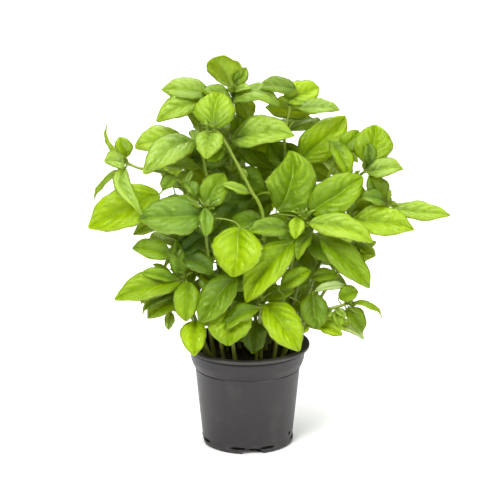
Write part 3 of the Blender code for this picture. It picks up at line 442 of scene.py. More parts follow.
def pot_finish():
    """Thin dark plastic with a satin skin, faint flow lines from the mould and a little dust, a painted
    shadow under the lip and a painted highlight on the lip.
    """
    made = Finish("pot_plastic")
    where = made.place()
    flow = made.grain(made.place((1.0, 1.0, 0.06)), 3.5, 3.0)
    skin = made.grain(where, 0.45, 2.0)
    cloud = made.grain(where, 30.0, 4.0)
    height = made.height()
    low = 1.0 - made.step(height, 0.0, 16.0 * MM)
    dust_and_lip_highlight = made.step(cloud, 0.5, 0.75) * 0.35 + low * made.step(made.grain(where, 5.0, 4.0), 0.45, 0.7) * 0.4
    # Painted shadow: a near-black, rougher band on the collar just under the lip.
    above = made.step(height, UNDER_LIP_HEIGHT * MM, (UNDER_LIP_HEIGHT + 1.4) * MM)
    under_lip_shadow = made.step(height, (UNDER_LIP_HEIGHT - 4.0) * MM, UNDER_LIP_HEIGHT * MM) * (1.0 - above)
    # Painted highlight: the lip, face and top, mixed towards the pale dust colour.
    lip = made.step(height, (UNDER_LIP_HEIGHT + 0.9) * MM, (UNDER_LIP_HEIGHT + 2.0) * MM)
    dust_and_lip_highlight = dust_and_lip_highlight * (1.0 - under_lip_shadow) + lip * 0.45
    colour = made.mix(dust_and_lip_highlight, made.mix(under_lip_shadow, POT_DARK, POT_UNDER_LIP_SHADOW), POT_DUST_AND_HIGHLIGHT)
    rough = 0.40 + (cloud - 0.5) * 0.16 + dust_and_lip_highlight * 0.2 + (flow - 0.5) * 0.08 + under_lip_shadow * 0.5
    relief = made.bump(skin, 0.05, made.bump(flow, 0.06))
    return made.surface(made.principled(base_color=colour, roughness=rough, normal=relief))


def soil_finish(name, dark, light):
    """Damp peat: dark crumbs with paler fibres."""
    made = Finish(name)
    where = made.place()
    crumb = made.grain(where, 2.6, 5.0, 0.65)
    spot = made.step(made.grain(where, 1.1, 3.0, 0.6), 0.5, 0.72)
    colour = made.mix(crumb * 0.6 + spot * 0.4, dark, light)
    return made.surface(made.principled(base_color=colour, roughness=0.95 - spot * 0.15,
                                        normal=made.bump(crumb, 1.2)))


LOOK = Vector((0.0, math.cos(SIGHT_FALL), -math.sin(SIGHT_FALL)))
RISE = Vector((0.0, math.sin(SIGHT_FALL), math.cos(SIGHT_FALL)))
EYE = SIGHT_AIM - SIGHT_DISTANCE * LOOK


def seen(across, up, near):
    """The place seen at across and up from the pot's foot, so far in front of the pot's axis."""
    ray = SIGHT_DISTANCE * LOOK + Vector((across - SIGHT_AIM.x, 0.0, 0.0)) + (up - SIGHT_UP) * RISE
    return EYE + ray * ((-near - EYE.y) / ray.y)


def shown(place):
    """Across and up of a place as seen."""
    ray = place - EYE
    far = SIGHT_DISTANCE / ray.dot(LOOK)
    return ray.x * far + SIGHT_AIM.x, ray.dot(RISE) * far + SIGHT_UP


def may_show(across, up):
    """Whether a leaf that grew by rule may be seen there."""
    if any((across - x) ** 2 + (up - y) ** 2 < r * r for x, y, r in OPEN_GAPS):
        return False
    inside = False
    for (ax, ay), (bx, by) in zip(DENSE_OUTLINE, DENSE_OUTLINE[1:] + DENSE_OUTLINE[:1]):
        if (ay > up) != (by > up) and across < (bx - ax) * (up - ay) / (by - ay) + ax:
            inside = not inside
    return inside


def square_to(over, along):
    """The direction nearest to over that is square to along, and the one square to both."""
    lift = (over - over.dot(along) * along).normalized()
    return lift, along.cross(lift)


def ring_angles(sides, start=0.0):
    """Angles of evenly spaced points round a circle."""
    return [2 * math.pi * (k + start) / sides for k in range(sides)]


class Leaf:
    """A blade from base to tip, whose upper side looks towards face (right, up, towards the viewer)."""

    # A leaf's tone is partly its own lighter or darker green. It is also painted shade on leaves that lie
    # deep in the clump, and painted light on leaves that lie in shadow.
    def __init__(self, base, tip, width, face=(0.0, 0.8, 0.6), arch=0.1, sweep=0.0, cup=0.1, tone=0.0):
        self.base = base if isinstance(base, Vector) else seen(*base)
        self.tip = tip if isinstance(tip, Vector) else seen(*tip)
        self.width = width
        self.face = (face if isinstance(face, Vector) else Vector((face[0], -face[2], face[1]))).normalized()
        self.arch = arch
        self.sweep = sweep
        self.cup = cup
        self.tone = tone

    def marks(self):
        """Places along the rib and the edges that stand for the whole blade."""
        side = self.frame()[2]
        places = [self.rib(t) for t in (0.0, 0.25, 0.5, 0.75, 1.0)]
        for t in (0.2, 0.45, 0.7):
            for half in (-0.5, 0.5):
                places.append(self.rib(t) + side * (half * self.width * outline(t)))
        return places

    def moved(self, shift):
        """The same leaf in another place."""
        other = Leaf.__new__(Leaf)
        other.__dict__.update(self.__dict__)
        other.base = self.base + shift
        other.tip = self.tip + shift
        return other

    def frame(self):
        """Chord, upper side's direction, and the direction across the blade."""
        chord = self.tip - self.base
        along = chord.normalized()
        over = self.face - self.face.dot(along) * along
        if over.length < 0.1:
            over = along.orthogonal()
        over.normalize()
        return chord, over, along.cross(over)

    def rib(self, t):
        """The midrib's place at t, from 0 at the stalk to 1 at the tip."""
        chord, over, side = self.frame()
        bow = 4.0 * t * (1.0 - t) * chord.length
        return self.base + chord * t + over * (self.arch * bow) + side * (self.sweep * bow)


def outline(t):
    """Share of the blade's half width at t: broad towards the stalk, pointed at the tip."""
    return math.sin(math.pi * t ** 0.78) ** 0.72


def smooth(points, pieces):
    """Points on a smooth curve through the given ones."""
    ends = [points[0] * 2 - points[1]] + list(points) + [points[-1] * 2 - points[-2]]
    curve = [points[0]]
    for a, b, c, d in zip(ends, ends[1:], ends[2:], ends[3:]):
        for i in range(1, pieces + 1):
            t = i / pieces
            curve.append(
                0.5 * (2 * b + (c - a) * t + (2 * a - 5 * b + 4 * c - d) * t * t
                       + (3 * b - a - 3 * c + d) * t ** 3)
            )
    return curve


class Plant:
    """A stem that rises from foot, with branches, each a list of places, and its leaves."""

    def __init__(self, name, foot, stem, branches=(), leaves=()):
        self.name = name
        x, near = foot
        ground = Vector((x, -near, SOIL_HEIGHT))
        first = [ground - Vector((0, 0, ROOT_DEPTH)), ground]
        main = smooth([ground] + [seen(*p) for p in stem], STEM_PIECES)
        self.stems = [first + main[1:]]
        for branch in branches:
            course = [seen(*p) for p in branch]
            course[0] -= Vector((0.2, 0.3, 0.9))
            self.stems.append(smooth(course, STEM_PIECES))
        self.leaves = leaves
        self.grown = []

    def nearest(self, place):
        """The point on the plant's stems above the soil that lies nearest to place."""
        best = None
        for stem in self.stems:
            for a, b in zip(stem, stem[1:]):
                if b.z < SOIL_HEIGHT + LOWEST_ROOT:
                    continue
                point, share = geometry.intersect_point_line(place, a, b)
                point = a.lerp(b, min(JOINT_SHARES[1], max(JOINT_SHARES[0], share)))
                if best is None or (point - place).length < (best - place).length:
                    best = point
        return best


# What the leaves show from in front, plant by plant
PLANTS = [
    Plant(
        "plant_top", (-8, -12), [(-15, 150, -14), (-17, 240, -15), (-16.5, 298, -14), (-14.5, 344, -10)],
        leaves=[
            Leaf((-16.5, 352, -4), (-33, 382, 8), 34, (0.1, 0.6, -0.8), 0.08, tone=0.15),
            Leaf((-13, 354, -4), (-0.5, 371, -8), 14, (0.3, 0.5, 0.6), tone=-0.2),
            Leaf((-12.5, 347, -4), (3, 350, 6), 12, (0, 0.8, 0.6), tone=0.6),
            Leaf((-17, 340, -2), (-44, 347, 12), 20, (0, 0.8, 0.6), 0.1, tone=0.3),
            Leaf((-15, 335, -2), (33.5, 333, 8), 29, (0, 0.93, 0.36), 0.27, cup=-0.1, tone=-0.05),
            Leaf((-12, 338, -8), (4, 318, 2), 27, (-0.3, 0.6, -0.6), tone=-0.8),
            Leaf((-13, 322, -16), (-3, 299, -6), 20, (0.2, 0.6, 0.7), tone=-0.1),
            Leaf((-15.5, 299, 4), (48, 304, 20), 37, (0.05, 0.72, 0.68), 0.1, cup=0.12, tone=0.65),
            Leaf((-12, 293, -24), (42.5, 275, -34), 34, (0.1, 0.4, 0.9), 0.05, tone=-0.3),
            Leaf((-19, 283, -4), (-58, 277, 6), 27, (0, 0.45, 0.85), 0.05, tone=-0.9),
            Leaf((-14, 262, -8), (18, 248, 2), 30, (0.1, 0.5, 0.85), 0.08, tone=-0.4),
        ],
    ),
    Plant(
        "plant_arching", (13, 20),
        [(15, 150, 34), (15.5, 221, 40), (4.5, 246, 43), (-9.5, 273, 45), (-26.5, 303, 46), (-35.5, 308, 45)],
        leaves=[
            Leaf((-34, 309, 44), (-30.5, 347, 18), 41, (0, 0.62, 0.78), 0.1, cup=-0.15, tone=0.7),
            Leaf((-38.5, 305, 48), (-40, 279, 72), 28, (0.1, 0.8, 0.6), 0.15, cup=0.1, tone=0.4),
            Leaf((1, 245, 48), (-26.5, 254, 58), 14, (0, 0.8, 0.6), 0.05, tone=0.5),
            Leaf((-8, 270, 38), (-2, 258, 34), 9, (0.2, 0.4, 0.8), tone=0.2),
            Leaf((-22, 290, 36), (-42, 278, 34), 18, (0, 0.6, 0.8), tone=0.0),
            Leaf((17, 216, 34), (-20, 214, 26), 24, (0, 0.6, 0.8), tone=-0.15),
        ],
    ),
    Plant(
        "plant_upper_left", (-21, -6),
        [(-30, 180, -2), (-38, 250, 4), (-47, 296, 8), (-40, 340, 8)],
        leaves=[
            Leaf((-38, 344, 6), (-86.5, 350, 4), 26, (-0.1, 0.75, 0.65), 0.08, tone=0.3),
            Leaf((-44, 337, 12), (-92.5, 318, 26), 28, (-0.2, 0.65, 0.75), 0.1, tone=0.45),
            Leaf((-53.5, 297, 18), (-106, 266, 52), 38, (-0.15, 0.8, 0.58), 0.14, cup=-0.1, tone=0.5),
            Leaf((-62, 295.5, 8), (-113.5, 291, 16), 34, (-0.1, 0.75, 0.65), 0.1, tone=0.7),
            Leaf((-52, 308, 16), (-54, 298, 30), 12, (-0.1, 0.8, 0.6), tone=0.3),
        ],
    ),
    Plant(
        "plant_left", (-34, 10), [(-44, 160, 22), (-58, 225, 36), (-64.5, 251, 42)],
        branches=[[(-64.5, 251, 42), (-75.5, 263, 41), (-90, 267, 38), (-107.5, 270, 33), (-120, 275, 28)]],
        leaves=[
            Leaf((-120.5, 279, 28), (-142.5, 314, 24), 16, (-0.9, 0.3, 0.25), 0.14),
            Leaf((-121.5, 280, 22), (-129, 301, 14), 19, (0.4, 0.5, 0.8), tone=0.1),
            Leaf((-123, 276, 30), (-143, 278, 38), 24, (-0.1, 0.8, 0.6), tone=0.2),
            Leaf((-124.5, 268.5, 26), (-155.5, 238, 20), 20, (-0.72, 0.68, 0.1), 0.05),
            Leaf((-122, 270, 38), (-103.5, 225, 84), 19, (0.4, 0.5, 0.75), 0.05, 0.22, tone=0.4),
            Leaf((-88, 244.5, 48), (-159.5, 209, 58), 42, (-0.2, 0.5, 0.85), 0.06, cup=0.2, tone=0.6),
            Leaf((-73, 261, 44), (-85.5, 248, 54), 18, (-0.3, 0.7, 0.6), tone=-0.2),
            Leaf((-61, 256, 44), (-53, 240, 54), 17, (0.2, 0.8, 0.5), 0.2, tone=-0.2),
        ],
    ),
    Plant(
        "plant_middle_left", (-24, 30), [(-32, 140, 44), (-40, 190, 56), (-42, 229, 62)],
        leaves=[
            Leaf((-43, 222, 66), (-109.5, 219, 76), 42, (-0.05, 0.66, 0.75), 0.06, cup=0.0, tone=-0.1),
            Leaf((-47.5, 232, 56), (-92, 230, 44), 22, (0, 0.85, 0.5), tone=0.5),
            Leaf((-72, 219, 38), (-116, 205, 44), 22, (-0.1, 0.7, 0.7), tone=0.4),
            Leaf((-43, 231, 58), (-23.5, 266, 40), 28, (0.3, 0.5, 0.8), 0.05, tone=0.2),
            Leaf((-42, 230, 68), (-42.5, 201, 82), 16, (0.4, 0.6, 0.7), 0.1, tone=0.3),
            Leaf((-8, 210, 72), (-14.5, 161, 90), 50, (-0.1, 0.5, 0.86), 0.12, cup=0.05, tone=0.9),
            Leaf((-44, 202, 46), (-68, 184, 50), 20, (-0.1, 0.6, 0.8), tone=-0.8),
        ],
    ),
    Plant(
        "plant_lower_left", (-37, 20),
        [(-52, 118, 42), (-62, 150, 52), (-68, 180, 52)],
        leaves=[
            Leaf((-75.5, 183, 52), (-116.5, 190.5, 50), 23, (-0.1, 0.7, 0.7), tone=0.1),
            Leaf((-77, 179, 50), (-93, 199, 44), 12, (-0.5, 0.4, 0.7), tone=0.3),
            Leaf((-66, 160, 54), (-71.5, 198, 48), 18, (-0.3, 0.35, 0.9), tone=0.3),
            Leaf((-64.5, 180, 56), (-32.5, 165, 66), 22, (0.1, 0.7, 0.7), tone=-0.6),
            Leaf((-70, 194, 46), (-40, 200, 40), 26, (0.1, 0.5, 0.85), tone=-0.9),
            Leaf((-67, 157, 54), (-134.5, 141, 62), 32, (-0.1, 0.7, 0.7), 0.08, tone=0.3),
            Leaf((-76, 160, 44), (-95, 175, 44), 10, (-0.2, 0.8, 0.5), tone=0.1),
            Leaf((-72, 160, 50), (-107, 168, 50), 15, (-0.1, 0.7, 0.7), tone=0.2),
            Leaf((-69.5, 150, 50), (-109.5, 134, 44), 14, (-0.2, 0.85, 0.5), tone=-0.2),
            Leaf((-69.5, 145, 46), (-108, 125, 38), 14, (-0.2, 0.85, 0.5), tone=0.0),
            Leaf((-67, 138, 46), (-101.5, 120, 44), 22, (-0.2, 0.7, 0.7), tone=0.0),
            Leaf((-61, 157, 60), (-60.5, 116, 76), 26, (0.05, 0.6, 0.8), 0.12, tone=0.4),
            Leaf((-46, 168, 44), (-28, 146, 50), 22, (0.1, 0.5, 0.8), tone=-0.7),
        ],
    ),
    Plant(
        "plant_rim_left", (-42, 6), [(-56, 122, 26), (-72, 128, 34), (-76, 132, 36)],
        leaves=[
            Leaf((-76, 126, 38), (-79.5, 108, 46), 11, (-0.2, 0.6, 0.7), tone=-0.2),
            Leaf((-52.5, 121, 46), (-54, 86, 71), 26, (0.0, 0.6, 0.8), 0.12, tone=0.6),
        ],
    ),
    Plant(
        "plant_front", (-12, 40), [(-16, 112, 50), (-17, 140, 58), (-15, 164, 62)],
        leaves=[
            Leaf((-12, 161, 66), (-49.5, 115, 82), 34, (-0.2, 0.6, 0.77), 0.1, tone=-0.25),
            Leaf((-17.5, 128, 64), (-17.5, 92, 86), 43, (0, 0.75, 0.66), 0.12, cup=0.15, tone=0.25),
            Leaf((-20, 128, 56), (-46, 112, 62), 20, (-0.2, 0.7, 0.6), tone=0.0),
        ],
    ),
    Plant(
        "plant_rim_front", (8, 36), [(11, 110, 46), (14, 134, 54)],
        leaves=[
            Leaf((17.5, 134, 60), (53.5, 87, 80), 38, (0.2, 0.6, 0.77), 0.12, tone=0.6),
            Leaf((17, 139, 52), (47, 149, 50), 18, (0.1, 0.7, 0.7), tone=-0.2),
            Leaf((11, 135, 60), (-26.5, 113, 68), 24, (-0.1, 0.85, 0.5), tone=-0.1),
            Leaf((8, 118, 46), (5, 84, 54), 24, (0.1, 0.3, 0.9), tone=-0.9),
        ],
    ),
    Plant(
        "plant_centre", (26, 24), [(36, 140, 40), (48, 190, 50), (55.5, 219, 56)],
        leaves=[
            Leaf((29, 228, 44), (40.5, 287, 34), 50, (0.1, 0.3, 0.95), 0.05, 0.16, tone=-0.12),
            Leaf((43, 209, 62), (0, 208, 74), 24, (0.0, 0.8, 0.6), 0.04, tone=-0.15),
            Leaf((50, 221, 60), (48.5, 199, 74), 17, (-0.1, 0.6, 0.8), tone=0.7),
            Leaf((45, 197, 60), (-2.5, 135, 76), 38, (-0.2, 0.6, 0.77), 0.1, tone=0.65),
            Leaf((64, 202, 60), (49.5, 178, 70), 16, (-0.3, 0.6, 0.7), 0.1, 0.1, tone=-0.1),
            Leaf((63, 226, 54), (117.5, 262, 40), 38, (0.1, 0.55, 0.83), 0.08, tone=0.4),
            Leaf((62, 216, 62), (127.5, 200, 74), 30, (0.1, 0.75, 0.65), 0.08, tone=0.75),
            Leaf((74, 200, 56), (122.5, 149, 68), 30, (0.2, 0.55, 0.8), 0.1, tone=0.1),
            Leaf((60, 200, 40), (92, 178, 36), 30, (0.1, 0.5, 0.85), tone=-0.3),
            Leaf((56, 188, 36), (54, 152, 34), 28, (0.1, 0.3, 0.9), tone=-0.9),
        ],
    ),
    Plant(
        "plant_upper_right", (18, -6), [(28, 180, -6), (37, 265, -2), (37, 300, 0), (43, 333, 2)],
        leaves=[
            Leaf((49, 348, 2), (8.5, 350, 0), 23, (0, 0.8, 0.55), tone=-0.5),
            Leaf((37, 337, 2), (72.5, 351, -12), 28, (0.2, 0.6, 0.75), tone=0.85),
            Leaf((51, 331, 6), (92.5, 330, 14), 22, (0.1, 0.82, 0.55), 0.05, tone=0.3),
            Leaf((66.5, 325, 4), (17.5, 329, 12), 34, (0, 0.5, -0.85), 0.0, 0.06, tone=-0.6),
            Leaf((52.5, 277, 4), (98.5, 323, -6), 37, (0.2, 0.4, 0.85), 0.08, tone=0.35),
            Leaf((54, 274, -6), (82, 259, -4), 22, (0.1, 0.5, 0.85), tone=-0.8),
            Leaf((40, 272, -4), (22, 296, -16), 24, (0, 0.4, 0.9), tone=-0.6),
            Leaf((55, 274, -8), (36, 295, -12), 15, (0, 0.4, 0.9), tone=-0.7),
        ],
    ),
    Plant(
        "plant_right", (36, 4), [(54, 170, 8), (76, 245, 12), (90, 287, 14)],
        branches=[[(72, 232, 11), (98, 252, 15), (117.5, 267, 17)]],
        leaves=[
            Leaf((83.5, 297, 16), (101.5, 260, 30), 22, (0.4, 0.6, 0.7), 0.1, tone=0.3),
            Leaf((92.5, 287, 12), (112, 308, 2), 20, (0.3, 0.4, 0.8), tone=0.1),
            Leaf((94, 283, 18), (111.5, 274, 28), 13, (0.1, 0.8, 0.6), tone=-0.6),
            Leaf((120.5, 275, 12), (127, 315.5, -4), 38, (0.1, 0.4, 0.9), 0.08, tone=0.2),
            Leaf((122, 273, 20), (119.5, 297, 14), 15, (0.3, 0.4, 0.85), tone=-0.5),
            Leaf((120, 266, 20), (156, 270, 28), 24, (0.1, 0.75, 0.65), 0.1, tone=0.3),
            Leaf((80, 258, 8), (94, 246, 12), 24, (0.1, 0.5, 0.85), tone=-0.7),
        ],
    ),
    Plant(
        "plant_far_right", (43, 16), [(66, 160, 26), (98, 216, 34), (138, 236, 36)],
        leaves=[
            Leaf((135, 236, 34), (122.5, 263, 28), 25, (0.4, 0.3, 0.8), tone=-0.9),
            Leaf((145, 231, 38), (203, 226, 44), 23, (0.1, 0.75, 0.62), 0.0, 0.06, tone=0.3),
            Leaf((104.5, 219, 42), (167.5, 210, 52), 34, (0.1, 0.7, 0.7), 0.08, tone=0.55),
            Leaf((138, 236, 40), (112, 242, 50), 20, (-0.1, 0.8, 0.6), tone=-0.5),
            Leaf((104, 224, 36), (148, 233, 30), 18, (0.1, 0.8, 0.6), tone=-0.7),
        ],
    ),
    Plant(
        "plant_rim_right", (34, 23), [(50, 110, 38), (74, 126, 54), (88, 131, 56), (98, 134, 56)],
        leaves=[
            Leaf((65, 145, 56), (67.5, 108, 68), 28, (0.1, 0.6, 0.8), 0.1, tone=-0.5),
            Leaf((98.5, 152, 50), (65.5, 147, 52), 12, (0, 0.85, 0.5), tone=1.0),
            Leaf((91, 141, 56), (111.5, 147, 52), 18, (0.1, 0.7, 0.7), tone=0.2),
            Leaf((104.5, 135, 56), (136.5, 122, 58), 16, (0.3, 0.94, 0.1)),
            Leaf((98.5, 130, 56), (117, 106, 60), 22, (0.5, 0.5, 0.7), tone=-0.6),
            Leaf((73, 111, 58), (95.5, 104, 64), 18, (0.1, 0.8, 0.6), tone=0.5),
            Leaf((96, 112, 54), (117, 98.5, 56), 12, (0.3, 0.8, 0.5), tone=1.0),
            Leaf((33, 154, 56), (64.5, 170, 50), 19, (0, 0.6, 0.8), tone=0.4),
            Leaf((88, 129, 60), (98, 120, 66), 10, (0.2, 0.7, 0.6), tone=0.2),
            Leaf((91, 130, 58), (90.5, 111, 64), 14, (0.1, 0.5, 0.85), tone=0.2),
            Leaf((84, 128, 60), (75, 121, 64), 12, (-0.2, 0.7, 0.6), tone=0.3),
            Leaf((60, 112, 54), (52, 104, 60), 12, (-0.2, 0.7, 0.6), tone=0.8),
            Leaf((64, 160, 44), (92, 164, 40), 16, (0.1, 0.7, 0.7), tone=-0.3),
        ],
    ),
    Plant(
        "plant_low_back_right", (38, -12), [(60, 120, -10), (86, 160, -6), (112, 186, 0)],
        leaves=[
            Leaf((110, 184.5, 4), (128.5, 182.5, 8), 20, (0.2, 0.7, 0.6), tone=-0.2),
            Leaf((114, 189, 0), (129.5, 196, -4), 8, (0.3, 0.6, 0.6), tone=0.4),
            Leaf((106, 196, -4), (116, 172, 8), 20, (0.3, 0.5, 0.8), tone=-0.3),
            Leaf((88, 172, 4), (110, 196, 0), 24, (0.1, 0.4, 0.9), tone=-0.8),
        ],
    ),
    Plant("plant_back_left", (-36, -20), [(-44, 150, -44), (-56, 200, -74), (-70, 224, -96)]),
    Plant("plant_back", (-8, -38), [(-14, 160, -64), (-20, 240, -92), (-22, 285, -104)]),
    Plant("plant_back_right", (22, -32), [(40, 160, -54), (58, 225, -80), (60, 266, -96)]),
    Plant("plant_back_high", (8, -20), [(8, 160, -34), (6, 250, -50), (-2, 312, -58)]),
    Plant("plant_back_low_left", (-24, -40), [(-29, 132, -52), (-38, 160, -84), (-46, 186, -112)]),
    Plant("plant_back_low_right", (24, -40), [(30, 132, -52), (44, 160, -82), (56, 184, -110)]),
]


def strip(sections, tip=None):
    """Points and triangles of a closed strip whose sections are rings of the same count."""
    count = len(sections[0])
    points = [p for ring in sections for p in ring]
    faces = [(0, i, i + 1) for i in range(1, count - 1)]
    for k in range(len(sections) - 1):
        a = k * count
        b = a + count
        for i in range(count):
            j = (i + 1) % count
            if i % 2:
                faces += [(a + i, b + i, a + j), (a + j, b + i, b + j)]
            else:
                faces += [(a + i, b + i, b + j), (a + i, b + j, a + j)]
    last = (len(sections) - 1) * count
    if tip is None:
        faces += [(last, last + i + 1, last + i) for i in range(1, count - 1)]
    else:
        points.append(tip)
        faces += [(last + i, len(points) - 1, last + (i + 1) % count) for i in range(count)]
    return points, faces


def blade_sections(leaf, grow=0.0):
    """Four-cornered sections of the blade, thick at the rib and thin at the edges, and its tip."""
    chord, over, _ = leaf.frame()
    sections = []
    for t in BLADE_STATIONS if leaf.width > SMALL_BLADE else SMALL_STATIONS:
        place = leaf.rib(t)
        along = (leaf.rib(t + 0.02) - leaf.rib(t - 0.02)).normalized()
        lift, out = square_to(over, along)
        half = 0.5 * leaf.width * outline(t) + grow
        edge = lift * (leaf.cup * half)
        thick = lift * (0.5 * BLADE_THICKNESS + grow)
        sections.append([place - out * half + edge, place + thick, place + out * half + edge, place - thick])
    return sections, leaf.tip + chord.normalized() * grow


def neck_section(place, along, over, radius):
    """A small square section round a stalk."""
    lift, out = square_to(over, along)
    return [place - out * radius, place + lift * radius, place + out * radius, place - lift * radius]


def stalk_curve(leaf, root, shares=(0.0, 0.5, 1.0)):
    """Places along the stalk, which leaves the stem upwards and runs into the midrib."""
    span = (leaf.base - root).length
    start = root + Vector((0, 0, 1)) * (0.3 * span)
    finish = leaf.base - (leaf.rib(0.04) - leaf.base).normalized() * (0.3 * span)
    return [root * (1 - t) ** 3 + start * 3 * t * (1 - t) ** 2
            + finish * 3 * t * t * (1 - t) + leaf.base * t ** 3
            for t in shares]


def leaf_solids(leaf, root, grow=0.0):
    """The whole leaf, and its blade alone, each as points and faces."""
    chord, over, _ = leaf.frame()
    sections, tip = blade_sections(leaf, grow)
    course = stalk_curve(leaf, root)
    necks = []
    for i, place in enumerate(course):
        along = (course[min(i + 1, 2)] - course[max(i - 1, 0)]).normalized()
        if abs(along.dot(over)) > 0.98:
            along = chord.normalized()
        necks.append(neck_section(place, along, over, STALK_RADIUS + grow))
    if (leaf.base - root).length < SHORT_STALK:
        necks = [necks[0], necks[2]]
    return strip(necks + sections, tip), strip(necks[-1:] + sections, tip)


class Space:
    """The room already taken by stems, leaves, pot and soil."""

    def __init__(self):
        self.items = []

    def add(self, owner, kind, solid):
        points, faces = solid
        self.items.append((owner, kind, *reach(points), BVHTree.FromPolygons(points, faces)))

    def free(self, owner, whole, blade):
        """Whether a leaf clears everything that it doesn't grow from."""
        trees = {}
        for kind, (points, faces) in (("whole", whole), ("blade", blade)):
            trees[kind] = (*reach(points), BVHTree.FromPolygons(points, faces))
        for other, kind, low, high, tree in self.items:
            if other == owner and kind != "blade":
                continue
            mine = trees["blade" if other == owner else "whole"]
            if any(mine[0][i] > high[i] or mine[1][i] < low[i] for i in range(3)):
                continue
            if mine[2].overlap(tree):
                return False
        return True


def reach(points):
    """Lowest and highest corner round some points."""
    return (Vector([min(p[i] for p in points) for i in range(3)]),
            Vector([max(p[i] for p in points) for i in range(3)]))


def tube(course, radii):
    """A closed tube along a course of points."""
    rings = []
    lift = (course[1] - course[0]).orthogonal().normalized()
    for i, place in enumerate(course):
        along = (course[min(i + 1, len(course) - 1)] - course[max(i - 1, 0)]).normalized()
        lift, out = square_to(lift, along)
        rings.append([place + (lift * math.cos(a) + out * math.sin(a)) * radii[i]
                      for a in ring_angles(STEM_SIDES)])
    return strip(rings)


def foot_radius(number):
    """Radius at the foot of a plant's main stem, number 0, or of a branch."""
    return STEM_FOOT_RADIUS if number == 0 else 0.5 * (STEM_FOOT_RADIUS + STEM_TOP_RADIUS)


def stem_radii(course, first):
    """Radii that taper evenly from first along a course."""
    return [first + (STEM_TOP_RADIUS - first) * i / (len(course) - 1) for i in range(len(course))]


def stem_solids(plant):
    """The plant's main stem and its branches as closed tubes."""
    return [tube(course, stem_radii(course, foot_radius(i))) for i, course in enumerate(plant.stems)]


def pot_profile():
    """The pot's wall in section, from the lip's inner edge out, down and back up inside."""
    outer = [
        (LIP_RADIUS - 7.0, POT_HEIGHT - 0.4), (LIP_RADIUS - 6.0, POT_HEIGHT), (LIP_RADIUS - 1.0, POT_HEIGHT),
        (LIP_RADIUS, POT_HEIGHT - 0.8), (LIP_RADIUS, POT_HEIGHT - LIP_DEPTH),
        (LIP_RADIUS - 0.9, POT_HEIGHT - LIP_DEPTH - 0.7), (COLLAR_RADIUS + 1.6, POT_HEIGHT - LIP_DEPTH - 1.3),
        (COLLAR_RADIUS, POT_HEIGHT - LIP_DEPTH - 5.0), (COLLAR_RADIUS - 0.9, COLLAR_FOOT_HEIGHT + 6.0),
        (COLLAR_FOOT_RADIUS, COLLAR_FOOT_HEIGHT), (BODY_TOP_RADIUS - 0.2, BODY_TOP_HEIGHT + 1.4),
        (BODY_TOP_RADIUS + 0.3, BODY_TOP_HEIGHT + 0.4), (BODY_TOP_RADIUS, BODY_TOP_HEIGHT - 0.8),
        (BODY_FOOT_RADIUS, 9.0), (BODY_FOOT_RADIUS + 0.6, 3.0),
        (BODY_FOOT_RADIUS - 0.2, 0.6), (BODY_FOOT_RADIUS - 1.4, 0.0),
    ]
    inner = [
        (BODY_FOOT_RADIUS - 3.4, 0.0), (BODY_FOOT_RADIUS - 3.8, 2.4), (0.0, 2.4), (0.0, 4.0),
        (BODY_FOOT_RADIUS - WALL - 1.5, 4.0), (BODY_FOOT_RADIUS - WALL, 5.5),
        (BODY_FOOT_RADIUS - WALL, 9.0), (BODY_TOP_RADIUS - WALL, BODY_TOP_HEIGHT),
        (COLLAR_FOOT_RADIUS - WALL, COLLAR_FOOT_HEIGHT + 2.0),
    ]
    return outer + inner


def turned(profile, sides):
    """Points and faces of a closed solid of revolution about Z; points on the axis become poles."""
    points, rings = [], []
    for radius, height in profile:
        if radius == 0.0:
            rings.append([len(points)] * sides)
            points.append(Vector((0, 0, height)))
        else:
            rings.append(list(range(len(points), len(points) + sides)))
            for angle in ring_angles(sides):
                points.append(Vector((radius * math.cos(angle), radius * math.sin(angle), height)))
    faces = []
    for a, b in zip(rings, rings[1:] + rings[:1]):
        for k in range(sides):
            j = (k + 1) % sides
            face = list(dict.fromkeys((a[k], a[j], b[j], b[k])))
            if len(face) > 2:
                faces.append(face)
    return points, faces


def soil_profile():
    """The soil in section: it follows the pot's inner wall with a small gap."""
    wall = WALL + FIT_GAP
    return [
        (0.0, SOIL_HEIGHT + SOIL_RISE), (18.0, SOIL_HEIGHT + 1.0), (36.0, SOIL_HEIGHT + 0.3),
        (COLLAR_FOOT_RADIUS - 1.4 - wall, SOIL_HEIGHT - 1.0),
        (COLLAR_FOOT_RADIUS - 0.5 - wall, SOIL_HEIGHT - 2.6),
        (COLLAR_FOOT_RADIUS - 0.6 - wall, COLLAR_FOOT_HEIGHT + 2.0),
        (BODY_TOP_RADIUS - 0.4 - wall, BODY_TOP_HEIGHT),
        (BODY_FOOT_RADIUS - wall - 0.1, 9.0), (BODY_FOOT_RADIUS - wall - 0.1, 5.6 + FIT_GAP),
        (BODY_FOOT_RADIUS - wall - 1.6, 4.0 + FIT_GAP), (0.0, 4.0 + FIT_GAP),
    ]


def settle(plant, leaf, space):
    """Move a leaf along the line of sight, as little as it takes to clear its neighbours."""
    for step in range(SETTLE_STEPS):
        for sign in (1, -1):
            shift = Vector((0, -1, 0)) * (SETTLE_STEP * step * sign)
            trial = leaf.moved(shift)
            root = plant.nearest(trial.base)
            whole, blade = leaf_solids(trial, root, LEAF_CLEARANCE)
            if space.free(plant.name, whole, blade):
                return trial
            if step == 0:
                break
    return None


def hides_nothing(leaf, read):
    """Whether a leaf lies behind the leaves that were read, or shows only in the dense middle."""
    for place in leaf.marks():
        ray = place - EYE
        hit = read.ray_cast(EYE, ray.normalized())
        if hit[0] is None:
            if -place.y > SHOWN_DEPTH or not may_show(*shown(place)):
                return False
        elif hit[3] > ray.length - 1.0:
            return False
    return True


